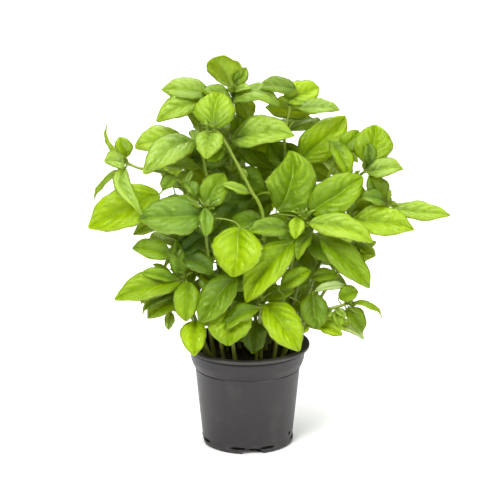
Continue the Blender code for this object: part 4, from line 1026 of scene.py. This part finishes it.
def filling_leaf(plant, place, draw):
    """A leaf of the plant whose blade passes through place; None where the plant is too near or too far."""
    root = plant.nearest(place - Vector((0.0, 0.0, 12.0)))
    way = place - root
    length = draw.uniform(*FILL_LENGTHS)
    along = (way.normalized() + Vector((0.0, 0.0, draw.uniform(-0.6, 0.1)))).normalized()
    base = place - along * (0.45 * length)
    if not FILL_STALKS[0] < (base - root).length < FILL_STALKS[1] or (base - root).dot(way) < 0.0:
        return None
    face = (draw.uniform(-0.4, 0.4), draw.uniform(0.4, 1.0), draw.uniform(-0.3, 0.9))
    # The dark tone of these leaves is painted shade: they sit behind the leaves that were read.
    return Leaf(base, place + along * (0.55 * length), length * draw.uniform(0.54, 0.66), face,
                draw.uniform(0.04, 0.12), draw.uniform(-0.05, 0.05), draw.uniform(0.0, 0.2),
                draw.uniform(-0.9, -0.3))


def hidden_by(blade, places):
    """Those of the places seen, as across and up, that the blade hides."""
    low_across = min(shown(p)[0] for p in blade[0])
    high_across = max(shown(p)[0] for p in blade[0])
    low_up = min(shown(p)[1] for p in blade[0])
    high_up = max(shown(p)[1] for p in blade[0])
    near_by = [p for p in places if low_across < p[0] < high_across and low_up < p[1] < high_up]
    tree = BVHTree.FromPolygons(*blade)
    return [p for p in near_by if tree.ray_cast(EYE, (seen(*p, 0.0) - EYE).normalized())[0] is not None]


def fill_gaps(space, read):
    """Leaves behind the gaps between those that were read, where the plant is dense."""
    draw = random.Random(GAP_SEED)
    gaps = []
    for across in range(*SEARCH_ACROSS, GAP_STEP):
        for up in range(*SEARCH_UP, GAP_STEP):
            ray = (seen(across, up, 0.0) - EYE).normalized()
            if may_show(across, up) and read.ray_cast(EYE, ray)[0] is None:
                gaps.append((across, up))
    for depth in GAP_DEPTHS:
        for across, up in draw.sample(gaps, len(gaps)):
            if (across, up) not in gaps:
                continue
            best = None
            for plant in PLANTS:
                leaf = filling_leaf(plant, seen(across, up, depth), draw)
                if leaf is None or not hides_nothing(leaf, read):
                    continue
                whole, blade = leaf_solids(leaf, plant.nearest(leaf.base), LEAF_CLEARANCE)
                hidden = hidden_by(blade, gaps)
                if len(hidden) >= GAP_SCORE and (best is None or len(hidden) > len(best[2])):
                    if space.free(plant.name, whole, blade):
                        best = (plant, leaf, hidden)
            if best:
                take(space, best[0], best[1])
                gaps = [gap for gap in gaps if gap not in best[2]]


def ruled_leaf(root, azimuth, share, draw):
    """A leaf that leaves its stem at root in the given direction; share is 0 low on the plant and 1 high."""
    out = Vector((math.cos(azimuth), math.sin(azimuth), 0.0))
    away = Vector((root.x, root.y, 0.0)) / 90.0
    length = draw.uniform(*PAIR_LENGTHS) * (1.0 - 0.4 * share)
    stalk = draw.uniform(*PAIR_STALKS) * (1.0 - 0.4 * share)
    base = root + out * stalk + Vector((0.0, 0.0, stalk * draw.uniform(0.3, 0.8)))
    fall = draw.uniform(-0.8, 0.1) + 0.35 * share
    tip = base + (out * math.cos(fall) + Vector((0.0, 0.0, math.sin(fall)))) * length
    lean = [draw.uniform(-0.35, 0.35) for _ in range(2)]
    face = (away.x * 0.8 + lean[0], 1.0, -away.y * 0.8 + lean[1])
    width = length * draw.uniform(0.52, 0.64)
    return Leaf(base, tip, width, face, draw.uniform(0.06, 0.16), draw.uniform(-0.05, 0.05),
                draw.uniform(-0.05, 0.2), draw.uniform(-0.6, 0.4))


def ruled_pair_leaf(space, read, plant, root, azimuth, draw):
    """Grow one leaf of a pair from root, turned a little each time until there is room."""
    share = (root.z - SOIL_HEIGHT) / PAIR_RISE
    for attempt in range(PAIR_TRIES):
        leaf = ruled_leaf(root, azimuth + draw.uniform(-0.06, 0.06) * attempt, share, draw)
        if hides_nothing(leaf, read):
            whole, blade = leaf_solids(leaf, plant.nearest(leaf.base), LEAF_CLEARANCE)
            if space.free(plant.name, whole, blade):
                take(space, plant, leaf)
                return


def ruled_pairs(space, read):
    """Opposite pairs up every stem, each a quarter turn from the last, where there is room."""
    draw = random.Random(PAIR_SEED)
    for plant in PLANTS:
        for stem in plant.stems:
            walked, turn = 0.0, draw.uniform(0.0, math.pi)
            for a, b in zip(stem[1:], stem[2:]):
                walked += (b - a).length
                if walked >= PAIR_SPACING:
                    walked, turn = 0.0, turn + 0.5 * math.pi
                    for side in (0.0, math.pi):
                        ruled_pair_leaf(space, read, plant, b, turn + side, draw)


def take(space, plant, leaf):
    """Give a leaf its room and its place on the plant."""
    whole, blade = leaf_solids(leaf, plant.nearest(leaf.base))
    space.add(plant.name, "blade", blade)
    space.add(plant.name, "whole", whole)
    plant.grown.append(leaf)


def read_surface():
    """One surface of all the blades that were read, for looking past them."""
    points, faces = [], []
    for plant in PLANTS:
        for leaf in plant.grown:
            more, sides = leaf_solids(leaf, plant.nearest(leaf.base))[1]
            faces += [tuple(i + len(points) for i in side) for side in sides]
            points += more
    return BVHTree.FromPolygons(points, faces)


def grow_plants():
    """Settle every leaf; the stems take their room first."""
    space = Space()
    space.add("pot", "wall", turned(pot_profile(), POT_SIDES))
    space.add("soil", "top", turned(soil_profile(), SOIL_SIDES))
    for plant in PLANTS:
        for solid in stem_solids(plant):
            space.add(plant.name, "stem", solid)
    for plant in PLANTS:
        for leaf in plant.leaves:
            good = settle(plant, leaf, space)
            if good:
                take(space, plant, good)
    read = read_surface()
    fill_gaps(space, read)
    ruled_pairs(space, read)


def stand(name, data):
    """A new object in the scene."""
    made = bpy.data.objects.new(name, data)
    bpy.context.scene.collection.objects.link(made)
    return made


def evaluated(holder):
    """The mesh that an object's modifiers make of it; the object goes."""
    bpy.context.view_layer.update()
    mesh = bpy.data.meshes.new_from_object(holder.evaluated_get(bpy.context.evaluated_depsgraph_get()))
    bpy.data.objects.remove(holder)
    return mesh


def piece(name, mesh, finish):
    """A finished piece that stands with the pot."""
    made = stand(name, mesh)
    mesh.materials.clear()
    mesh.materials.append(finish)
    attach(made, "root")
    return made


def solid_mesh(name, points, faces):
    """A smooth closed mesh in metres, set over the pot's place, from places in millimetres."""
    mesh = bpy.data.meshes.new(name)
    mesh.from_pydata([tuple(MM * v + shift for v, shift in zip(p, POT_PLACE)) for p in points], [], faces)
    shape = bmesh.new()
    shape.from_mesh(mesh)
    bmesh.ops.recalc_face_normals(shape, faces=shape.faces)
    if shape.calc_volume(signed=True) < 0:
        bmesh.ops.reverse_faces(shape, faces=shape.faces)
    shape.to_mesh(mesh)
    shape.free()
    mesh.shade_smooth()
    return mesh


def rounded(profile, radius):
    """The profile with every corner off the axis rounded."""
    points = []
    count = len(profile)
    for i, corner in enumerate(profile):
        here = Vector(corner)
        if corner[0] == 0.0:
            points.append(corner)
            continue
        before = Vector(profile[i - 1]) - here
        after = Vector(profile[(i + 1) % count]) - here
        size = min(radius, 0.35 * before.length, 0.35 * after.length)
        start = here + before.normalized() * size
        finish = here + after.normalized() * size
        for k in range(POT_EDGE_STEPS + 1):
            t = k / POT_EDGE_STEPS
            points.append(tuple(start * (1 - t) ** 2 + here * 2 * t * (1 - t) + finish * t * t))
    return points


def cut(mesh, tools):
    """The mesh less the tools, by one Boolean."""
    target = stand("target", mesh)
    group = bpy.data.collections.new("tools")
    bpy.context.scene.collection.children.link(group)
    cutters = [bpy.data.objects.new("tool", tool) for tool in tools]
    for cutter in cutters:
        group.objects.link(cutter)
    change = target.modifiers.new("cut", "BOOLEAN")
    change.operation = "DIFFERENCE"
    change.operand_type = "COLLECTION"
    change.collection = group
    change.solver = "EXACT"
    result = evaluated(target)
    for cutter in cutters:
        bpy.data.objects.remove(cutter)
    bpy.data.collections.remove(group)
    return result


def radial_cutter(angle, height, width, rise, depth):
    """A lens-shaped prism that points outwards through the pot's wall."""
    inside, outside, sides = BODY_FOOT_RADIUS - depth, BODY_FOOT_RADIUS + CUTTER_EXCESS, CUTTER_SIDES
    out = Vector((math.cos(angle), math.sin(angle), 0.0))
    across = Vector((-out.y, out.x, 0.0))
    rings = []
    for distance in (inside, outside):
        centre = out * distance + Vector((0, 0, height))
        rings.append([centre + across * (0.5 * width * math.cos(a)) + Vector((0, 0, rise * math.sin(a)))
                      for a in ring_angles(sides, 0.5)])
    points = [p for ring in rings for p in ring]
    faces = [tuple(range(sides)), tuple(range(2 * sides - 1, sides - 1, -1))]
    faces += [(k, (k + 1) % sides, sides + (k + 1) % sides, sides + k) for k in range(sides)]
    return solid_mesh("cutter", points, faces)


def make_pot(finish):
    """The pot with rounded edges, and the drain openings round its foot."""
    profile = rounded(pot_profile(), POT_EDGE)
    mesh = solid_mesh("pot_shell", *turned(profile, POT_FINE_SIDES))
    cutters = []
    for quarter in range(4):
        middle = math.radians(ARCH_TURN + 90.0 * quarter)
        cutters.append(radial_cutter(middle, *ARCH_CUT))
        for side in SLOT_TURNS:
            cutters.append(radial_cutter(middle + math.radians(side), *SLOT_CUT))
    for angle in HOLE_TURNS:
        cutters.append(radial_cutter(math.radians(angle), *HOLE_CUT))
    mesh = cut(mesh, cutters)
    mesh.set_sharp_from_angle(angle=math.radians(SHARP_ANGLE))
    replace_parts(piece("pot_shell", mesh, finish), "pot")


def make_soil(finish, crumb_finish):
    """Soil with a lumpy top, and loose crumbs over it."""
    side = soil_profile()[3:]
    top = SOIL_HEIGHT + SOIL_RISE
    points, rings = [Vector((0.0, 0.0, top))], []
    edge = side[0][0]
    course = [(edge * k / SOIL_RINGS, top - SOIL_BOW * (k / SOIL_RINGS) ** 2, True)
              for k in range(1, SOIL_RINGS)]
    course += [(radius, height, False) for radius, height in side if radius > 0.0]
    for radius, height, loose in course:
        ring = []
        for angle in ring_angles(SOIL_FINE_SIDES):
            place = Vector((radius * math.cos(angle), radius * math.sin(angle), height))
            if loose:
                lump = noise.noise(place * 0.16) + 0.6 * noise.noise(place * 0.42) + 0.3 * noise.noise(place)
                place.z += SOIL_LUMP * lump * min(1.0, (edge - radius) / SOIL_EDGE)
            ring.append(len(points))
            points.append(place)
        rings.append(ring)
    bottom = len(points)
    points.append(Vector((0.0, 0.0, side[-1][1])))
    faces = []
    for k in range(SOIL_FINE_SIDES):
        j = (k + 1) % SOIL_FINE_SIDES
        faces.append((0, rings[0][k], rings[0][j]))
        faces.append((bottom, rings[-1][j], rings[-1][k]))
        for a, b in zip(rings, rings[1:]):
            faces.append((a[k], b[k], b[j], a[j]))
    soil = piece("soil_bed", solid_mesh("soil_bed", points, faces), finish)
    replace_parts(soil, "soil")
    crumbs = converted("soil_crumbs", soil.data, crumb_tree(crumb_finish), CRUMB_SIZES)
    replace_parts(piece("soil_crumbs", crumbs, crumb_finish), "soil")


class Tree:
    """A tree of Geometry Nodes with named inputs."""

    def __init__(self, name, sizes):
        self.tree = bpy.data.node_groups.new(name, "GeometryNodeTree")
        self.tree.interface.new_socket("Geometry", in_out="INPUT", socket_type="NodeSocketGeometry")
        self.tree.interface.new_socket("Geometry", in_out="OUTPUT", socket_type="NodeSocketGeometry")
        for label, value in sizes.items():
            made = self.tree.interface.new_socket(label, in_out="INPUT", socket_type="NodeSocketFloat")
            made.default_value = value
        self.start = self.tree.nodes.new("NodeGroupInput")

    def node(self, kind, inputs=None, give=0, **settings):
        """Add a node with its settings and the values or links of its sockets."""
        made = self.tree.nodes.new(kind)
        for name, value in settings.items():
            setattr(made, name, value)
        for name, value in (inputs or {}).items():
            if isinstance(value, bpy.types.NodeSocket):
                self.tree.links.new(value, made.inputs[name])
            else:
                made.inputs[name].default_value = value
        return made.outputs[give]

    def finish(self, shape, finish):
        """End the tree: instances made real, material set."""
        real = self.node("GeometryNodeRealizeInstances", {0: shape})
        painted = self.node("GeometryNodeSetMaterial", {"Geometry": real, "Material": finish})
        self.tree.links.new(painted, self.tree.nodes.new("NodeGroupOutput").inputs[0])
        return self.tree


def converted(name, source, tree, sizes):
    """What the tree makes of a mesh or curve, as a plain mesh."""
    holder = stand(name + "_source", source)
    change = holder.modifiers.new("grow", "NODES")
    change.node_group = tree
    for label, value in sizes.items():
        change[tree.interface.items_tree[label].identifier] = value
    mesh = evaluated(holder)
    mesh.name = name
    return mesh


def crumb_tree(finish):
    """Crumbs of peat scattered over the upward faces of the soil."""
    tree = Tree("soil_crumbs", CRUMB_SIZES)
    normal = tree.node("GeometryNodeInputNormal")
    up = tree.node("ShaderNodeSeparateXYZ", {0: normal}, give=2)
    top = tree.node("FunctionNodeCompare", {0: up, 1: 0.6}, data_type="FLOAT", operation="GREATER_THAN")
    points = tree.node("GeometryNodeDistributePointsOnFaces", {
        "Mesh": tree.start.outputs[0], "Selection": top, "Density": tree.start.outputs["Density"], "Seed": 7,
    })
    crumb = tree.node("GeometryNodeMeshIcoSphere", {"Radius": CRUMB_RADIUS * MM, "Subdivisions": 1})
    turn = tree.node("FunctionNodeRandomValue", {0: (0.0, 0.0, 0.0), 1: (6.28, 6.28, 6.28), "Seed": 3},
                     data_type="FLOAT_VECTOR")
    spread = tree.node("FunctionNodeRandomValue", {0: (0.35, 0.35, 0.25), 1: (1.5, 1.1, 0.8), "Seed": 4},
                       data_type="FLOAT_VECTOR")
    size = tree.node("ShaderNodeVectorMath", {0: spread, "Scale": tree.start.outputs["Size"]},
                     operation="SCALE")
    turned_by = tree.node("FunctionNodeEulerToRotation", {0: turn})
    scattered = tree.node("GeometryNodeInstanceOnPoints", {
        "Points": points, "Instance": crumb, "Rotation": turned_by, "Scale": size,
    })
    return tree.finish(scattered, finish)


def stalk_tree(finish):
    """A rounded, faintly square stem along every path, as thick as the path's radius."""
    tree = Tree("stalks", STALK_SIZES)
    even = tree.node("GeometryNodeResampleCurve", {
        "Curve": tree.start.outputs[0], "Length": tree.start.outputs["Step"],
    }, mode="LENGTH")
    square = tree.node("GeometryNodeCurvePrimitiveQuadrilateral", {
        "Width": STEM_PROFILE, "Height": STEM_PROFILE,
    })
    round_square = tree.node("GeometryNodeFilletCurve", {
        "Curve": square, "Count": 2, "Radius": tree.start.outputs["Corner"],
    }, mode="POLY")
    radius = tree.node("GeometryNodeInputRadius")
    stem = tree.node("GeometryNodeCurveToMesh", {
        "Curve": even, "Profile Curve": round_square, "Scale": radius, "Fill Caps": True,
    })
    return tree.finish(tree.node("GeometryNodeSetShadeSmooth", {"Geometry": stem}), finish)


def paths_curve(name, paths):
    """A curve of open paths, each a list of places and radii in millimetres."""
    curve = bpy.data.curves.new(name, "CURVE")
    curve.dimensions = "3D"
    for course, radii in paths:
        spline = curve.splines.new("POLY")
        spline.points.add(len(course) - 1)
        for point, place, radius in zip(spline.points, course, radii):
            point.co = (*(MM * v + shift for v, shift in zip(place, POT_PLACE)), 1.0)
            point.radius = radius * MM
    return curve


def fine_outline(t):
    """Share of the blade's half width at t, drawn out to a point at the tip."""
    full = math.sin(math.pi * t ** 0.82) ** 0.62
    return 1.01 * full * (0.82 + 0.18 * soft_step(t, 0.0, 0.3)) * (1.0 - 0.26 * soft_step(t, 0.76, 1.0))


def soft_step(value, low, high):
    """Rises smoothly from 0 at low to 1 at high."""
    share = np.clip((value - low) / (high - low), 0.0, 1.0)
    return share * share * (3.0 - 2.0 * share)


def steps(length, fewest, most, size):
    """How many steps of about this size make up a length, within limits."""
    return max(fewest, min(most, round(length / size)))


def blade_faces(rows, columns):
    """Faces of a blade whose two sides share their edges, and which of the faces are underneath."""
    upper_at = np.arange(rows * columns).reshape(rows, columns)
    lower_at = upper_at.copy()
    lower_at[:, 1:-1] = rows * columns + np.arange(rows * (columns - 2)).reshape(rows, columns - 2)
    first = rows * columns + rows * (columns - 2)
    faces, sides = [], []
    for grid, turned_over in ((upper_at, False), (lower_at, True)):
        for i in range(rows - 1):
            for j in range(columns - 1):
                face = (grid[i, j], grid[i, j + 1], grid[i + 1, j + 1], grid[i + 1, j])
                faces.append(face[::-1] if turned_over else face)
        for j in range(columns - 1):
            near = (first, grid[0, j + 1], grid[0, j])
            far = (grid[-1, j], grid[-1, j + 1], first + 1)
            faces += [near[::-1], far[::-1]] if turned_over else [near, far]
        sides += [float(turned_over)] * ((rows - 1) * (columns - 1) + 2 * (columns - 1))
    return faces, sides


def blade_shape(leaf, draw):
    """Points, faces and face sides of a fine closed blade, and where each point lies across and along it."""
    length = (leaf.tip - leaf.base).length
    rows = steps(length, *BLADE_ROWS)
    half_columns = steps(leaf.width, *BLADE_HALF_COLUMNS)
    u = np.linspace(0.0, 1.0, rows + 2)[1:-1]
    t = 0.45 * u + 0.55 * 0.5 * (1.0 - np.cos(math.pi * u))
    even = np.linspace(-1.0, 1.0, 2 * half_columns + 1)
    s = np.sign(even) * np.abs(even) ** 1.2
    over = leaf.frame()[1]
    ribs, lifts, outs = [], [], []
    for value in t:
        lift, out = square_to(over, (leaf.rib(value + 0.02) - leaf.rib(value - 0.02)).normalized())
        ribs.append(leaf.rib(value))
        lifts.append(lift)
        outs.append(out)
    ribs, lifts, outs = (np.array([tuple(v) for v in rows_of]) for rows_of in (ribs, lifts, outs))
    half = 0.5 * leaf.width * np.array([fine_outline(value) for value in t])
    turns = [draw.uniform(0.0, 2 * math.pi) for _ in range(5)]
    twist, droop = draw.uniform(-0.2, 0.2), draw.uniform(0.02, 0.08)
    tt, ss = np.meshgrid(t, s, indexing="ij")
    out = np.abs(ss)
    slow = np.sin(2 * math.pi * 2.3 * tt + np.where(ss > 0, turns[3], turns[4]))
    quick = np.sin(2 * math.pi * 6.1 * tt + np.where(ss > 0, turns[4], turns[3]))
    wide = half[:, None] * (1.0 + EDGE_SWELLS[0] * slow + EDGE_SWELLS[1] * quick)
    phase = (tt - out * VEIN_LEAN[0] - out * out * VEIN_LEAN[1]) * VEIN_PAIRS + (ss > 0) * VEIN_OFFSET
    lobes = np.sin(math.pi * (phase - np.floor(phase))) ** 0.9
    lobes *= 0.45 + 0.55 * np.sin(1.9 * np.floor(phase) + 2.6 * (ss > 0) + turns[0]) ** 2
    window = soft_step(out, 0.05, 0.3) * (1.0 - soft_step(out, 0.75, 1.0))
    window *= soft_step(tt, 0.02, 0.16) * (1.0 - soft_step(tt, 0.82, 1.0))
    waves = np.where(ss > 0, np.sin(2 * math.pi * 2.1 * tt + turns[0]),
                     np.sin(2 * math.pi * 2.4 * tt + turns[1]))
    height = leaf.cup * wide * out ** 1.4
    height += HALF_ARCH * wide * 4.0 * out * (1.0 - out)
    height += HALF_LIFT * wide * out
    height += PILLOW_RISE * leaf.width * lobes * window
    height -= EDGE_FALL * wide * np.clip(out - 0.6, 0.0, 1.0) ** 2
    height += EDGE_WAVE * leaf.width * out ** 3 * waves
    height += ss * wide * twist * (tt - 0.25)
    height -= droop * length * soft_step(tt, 0.7, 1.0) ** 2
    skew = SIDE_SWAY * leaf.width * np.sin(math.pi * tt + turns[2]) * soft_step(tt, 0.1, 0.6)
    middle = ribs[:, None, :] + outs[:, None, :] * (ss * wide + skew)[..., None]
    middle = middle + lifts[:, None, :] * height[..., None]
    thick = 0.5 * BLADE_FINE * (1.0 - out ** 6) * (0.35 + 0.65 * np.sin(math.pi * tt) ** 0.5)
    upper = middle + lifts[:, None, :] * thick[..., None]
    lower = middle - lifts[:, None, :] * thick[..., None]
    tip = leaf.tip - Vector(lifts[-1]) * (droop * length)
    ends = [tuple(leaf.base), tuple(tip)]
    points = np.vstack([upper.reshape(-1, 3), lower[:, 1:-1].reshape(-1, 3), ends])
    across = np.concatenate([ss.reshape(-1), ss[:, 1:-1].reshape(-1), [0.0, 0.0]])
    along = np.concatenate([tt.reshape(-1), tt[:, 1:-1].reshape(-1), [0.0, 1.0]])
    return points, *blade_faces(rows, 2 * half_columns + 1), across, along


def leaf_values(leaf, draw):
    """How light a leaf is, with its painted shade, how much painted sheen and pallor it has, and how cool in
    colour.
    """
    tone = max(-1.0, min(1.0, leaf.tone + draw.uniform(-0.12, 0.12)))
    # Painted sheen on leaves high up whose upper side faces up, more on lighter leaves. Small young leaves
    # and the palest leaves take the same value as their own pallor.
    young = soft_step(0.5 * (leaf.base.z + leaf.tip.z), *SHEEN_HEIGHTS)
    bloom = young * soft_step(leaf.frame()[1].z, *SHEEN_SLOPES) * draw.uniform(0.7, 1.1)
    bloom *= 0.25 + 0.75 * soft_step(leaf.tone, *SHEEN_TONES)
    bloom = max(bloom, 1.0 - soft_step(leaf.width, *YOUNG_WIDTHS))
    bloom = max(bloom, PALE_LEVEL * soft_step(leaf.tone, *PALE_TONES))
    middle = 0.5 * (leaf.base + leaf.tip)
    away = math.hypot(middle.x - COOL_MIDDLE[0], middle.z - COOL_MIDDLE[1]) / COOL_REACH
    own = (12.9898 * middle.x + 78.233 * middle.z) % 1.0
    cool = max(math.exp(-0.5 * away * away), COOL_CHANCE * own) * (1.0 - soft_step(leaf.tone, *WARM_TONES))
    return {"tone": tone, "bloom": bloom, "cool": cool}


def leaf_mesh(name, leaves, draw):
    """All the blades of a plant as one mesh with their map, tones and undersides."""
    points, faces, sides, across, along = [], [], [], [], []
    values = {"tone": [], "bloom": [], "cool": []}
    count = 0
    for leaf in leaves:
        more, more_faces, more_sides, more_across, more_along = blade_shape(leaf, draw)
        faces += [tuple(int(i) + count for i in face) for face in more_faces]
        count += len(more)
        points.append(more)
        sides += more_sides
        across.append(more_across)
        along.append(more_along)
        for label, value in leaf_values(leaf, draw).items():
            values[label] += [value] * len(more)
    mesh = bpy.data.meshes.new(name)
    mesh.from_pydata((np.vstack(points) * MM + np.array(POT_PLACE)).tolist(), [], faces)
    corners = np.empty(len(mesh.loops), dtype=np.int32)
    mesh.loops.foreach_get("vertex_index", corners)
    spot = np.stack([0.5 + 0.5 * np.concatenate(across), np.concatenate(along)], axis=1)
    blade = mesh.uv_layers.new(name="blade")
    blade.data.foreach_set("uv", spot[corners].astype(np.float32).reshape(-1))
    held = [(label, "POINT", numbers) for label, numbers in values.items()] + [("underside", "FACE", sides)]
    for label, domain, numbers in held:
        layer = mesh.attributes.new(label, "FLOAT", domain)
        layer.data.foreach_set("value", np.array(numbers, dtype=np.float32))
    mesh.shade_smooth()
    return mesh


def stalk_path(leaf, root):
    """The leaf's stalk, which runs on under the blade as its midrib."""
    over = leaf.frame()[1]
    count = max(4, round((leaf.base - root).length / STALK_PIECE))
    shares = [k / count for k in range(count + 1)]
    course = stalk_curve(leaf, root, shares)
    radii = [1.05 - 0.3 * min(1.0, 3.0 * t) for t in shares]
    size = min(1.0, leaf.width / STALK_FULL_WIDTH)
    for k in range(1, RIB_PIECES + 1):
        t = RIB_SHARE * k
        course.append(leaf.rib(t) - over * (RIB_SINK * size))
        radii.append(0.75 * (1.0 - 0.105 * k))
    return course, [radius * (0.45 + 0.55 * size) for radius in radii]


def stem_path(course, first, joints):
    """A stem's path, drawn smoothly and swollen where leaves leave it."""
    fine = smooth(course, 5)
    radii = []
    for place, radius in zip(fine, stem_radii(fine, first)):
        near = min([(place - joint).length for joint in joints], default=math.inf)
        radii.append(radius * (1.0 + JOINT_SWELL * math.exp(-(near / JOINT_REACH) ** 2)))
    return fine, radii


def bud_leaves(stem, draw):
    """Pairs of small young leaves at the top of a stem."""
    end = stem[-1]
    along = (stem[-1] - stem[-2]).normalized()
    first = along.orthogonal().normalized()
    turn = draw.uniform(0.0, math.pi)
    leaves = []
    for pair, (length, spread) in enumerate(BUD_PAIRS):
        for side in (0.0, math.pi):
            angle = turn + side + 0.5 * math.pi * pair
            out = first * math.cos(angle) + along.cross(first) * math.sin(angle)
            size = length * draw.uniform(0.8, 1.2)
            way = (along * math.cos(spread) + out * math.sin(spread)).normalized()
            base = end + way * (1.2 + 0.12 * size)
            face = along * math.sin(spread) - out * math.cos(spread)
            leaves.append(Leaf(base, base + way * size, size * BUD_SHAPE, face, -0.14, 0.0, 0.35,
                               draw.uniform(0.1, 0.6)))
    return leaves


def axil_leaves(root, leaf, draw):
    """A pair of small leaves in the corner between a stem and the stalk of a leaf."""
    stalk = (leaf.base - root).normalized()
    up = Vector((0.0, 0.0, 1.0))
    across = stalk.cross(up).normalized()
    leaves = []
    for side in (-1.0, 1.0):
        size = draw.uniform(*AXIL_SIZES)
        way = (stalk * 0.6 + up * 0.7 + across * (side * draw.uniform(0.4, 0.8))).normalized()
        base = root + way * (1.5 + 0.15 * size)
        leaves.append(Leaf(base, base + way * size, size * AXIL_SHAPE, up - up.dot(way) * way, 0.1, 0.0,
                           0.2, draw.uniform(0.0, 0.5)))
    return leaves


def fuller(leaf, read):
    """A leaf that grew by rule a little wider than its solid, so that the leaves at the back close up."""
    if any(leaf.width == other.width and leaf.tone == other.tone for other in read):
        return leaf
    wide = leaf.moved(Vector())
    wide.width *= BACK_FULLNESS
    return wide


def make_plant(plant, leaf_look, stem_look, tree, number):
    """A plant's fine stems and leaves, which stand for its solid."""
    draw = random.Random(100 + number)
    roots = [plant.nearest(leaf.base) for leaf in plant.grown]
    paths = []
    leaves = [fuller(leaf, plant.leaves) for leaf in plant.grown]
    for i, stem in enumerate(plant.stems):
        paths.append(stem_path(stem, foot_radius(i), roots))
        buds = bud_leaves(stem, draw)
        leaves += buds
        paths += [stalk_path(leaf, stem[-1]) for leaf in buds]
    for leaf, root in zip(plant.grown, roots):
        paths.append(stalk_path(leaf, root))
        if leaf.width > AXIL_WIDTH:
            small = axil_leaves(root, leaf, draw)
            leaves += small
            paths += [stalk_path(young, root) for young in small]
    stems = converted(plant.name + "_stems", paths_curve(plant.name, paths), tree, STALK_SIZES)
    stems = piece(plant.name + "_stems", stems, stem_look)
    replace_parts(stems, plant.name)
    blades = leaf_mesh(plant.name + "_leaves", leaves, draw)
    blades = piece(plant.name + "_leaves", blades, leaf_look)
    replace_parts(blades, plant.name)


def make_stage():
    """A pale plain floor, soft lights from above, a bright world and the camera at the sight line."""
    mesh = bpy.data.meshes.new("floor")
    rim = [(FLOOR_RADIUS * math.cos(a), FLOOR_RADIUS * math.sin(a), 0.0) for a in ring_angles(FLOOR_SIDES)]
    mesh.from_pydata(rim, [], [tuple(range(FLOOR_SIDES))])
    floor = stand("floor", mesh)
    made = Finish("pale_floor")
    mesh.materials.append(made.surface(made.principled(base_color=(FLOOR_WHITE,) * 3, roughness=0.7)))
    floor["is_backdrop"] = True
    world = bpy.data.worlds.new("studio")
    bpy.context.scene.world = world
    world.use_nodes = True
    nodes, links = world.node_tree.nodes, world.node_tree.links
    back = nodes["Background"]
    back.inputs["Color"].default_value = (1.0, 1.0, 1.0, 1.0)
    looked_at = nodes.new("ShaderNodeLightPath").outputs["Is Camera Ray"]
    strength = nodes.new("ShaderNodeMapRange")
    strength.inputs["To Min"].default_value = WORLD_LIGHT
    links.new(looked_at, strength.inputs["Value"])
    links.new(strength.outputs[0], back.inputs["Strength"])
    aim = Vector(POT_PLACE) + Vector((0.0, 0.0, LIGHT_AIM))
    for name, place, width, power in SOFT_LIGHTS:
        lamp = bpy.data.lights.new(name, "AREA")
        lamp.shape = "DISK"
        lamp.size = width
        lamp.energy = power
        holder = stand(name, lamp)
        holder.location = aim + Vector(place)
        if not name.startswith("ceiling"):
            holder.rotation_euler = (aim - holder.location).to_track_quat("-Z", "Y").to_euler()
    eye = bpy.data.cameras.new("camera")
    eye.sensor_width = SENSOR_WIDTH
    eye.lens = SENSOR_WIDTH * SIGHT_DISTANCE / SEEN_WIDTH
    eye.clip_end = SEEN_REACH
    camera = stand("camera", eye)
    camera.location = Vector(POT_PLACE) + EYE * MM
    camera.rotation_euler = (math.radians(90.0) - SIGHT_FALL, 0.0, 0.0)
    bpy.context.scene.camera = camera
    bpy.context.scene.view_settings.view_transform = "Standard"
    bpy.context.scene.view_settings.look = "Medium High Contrast"


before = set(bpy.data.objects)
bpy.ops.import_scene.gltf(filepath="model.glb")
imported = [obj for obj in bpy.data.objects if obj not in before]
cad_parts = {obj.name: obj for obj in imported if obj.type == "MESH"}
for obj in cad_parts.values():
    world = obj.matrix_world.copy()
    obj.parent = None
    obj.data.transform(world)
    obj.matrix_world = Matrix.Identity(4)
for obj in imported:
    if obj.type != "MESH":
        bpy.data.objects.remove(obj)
low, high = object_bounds()
low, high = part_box("pot")
POT_PLACE = (0.5 * (low[0] + high[0]), 0.5 * (low[1] + high[1]), low[2])
make_stage()
grow_plants()
make_pot(pot_finish())
make_soil(soil_finish("potting_soil", SOIL_DARK, SOIL_BROWN),
          soil_finish("peat_crumbs", SOIL_DARK, CRUMB_BROWN))
leaf_look, stem_look = leaf_finish(), stem_finish()
tree = stalk_tree(stem_look)
for number, plant in enumerate(PLANTS):
    make_plant(plant, leaf_look, stem_look, tree, number)
low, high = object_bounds()
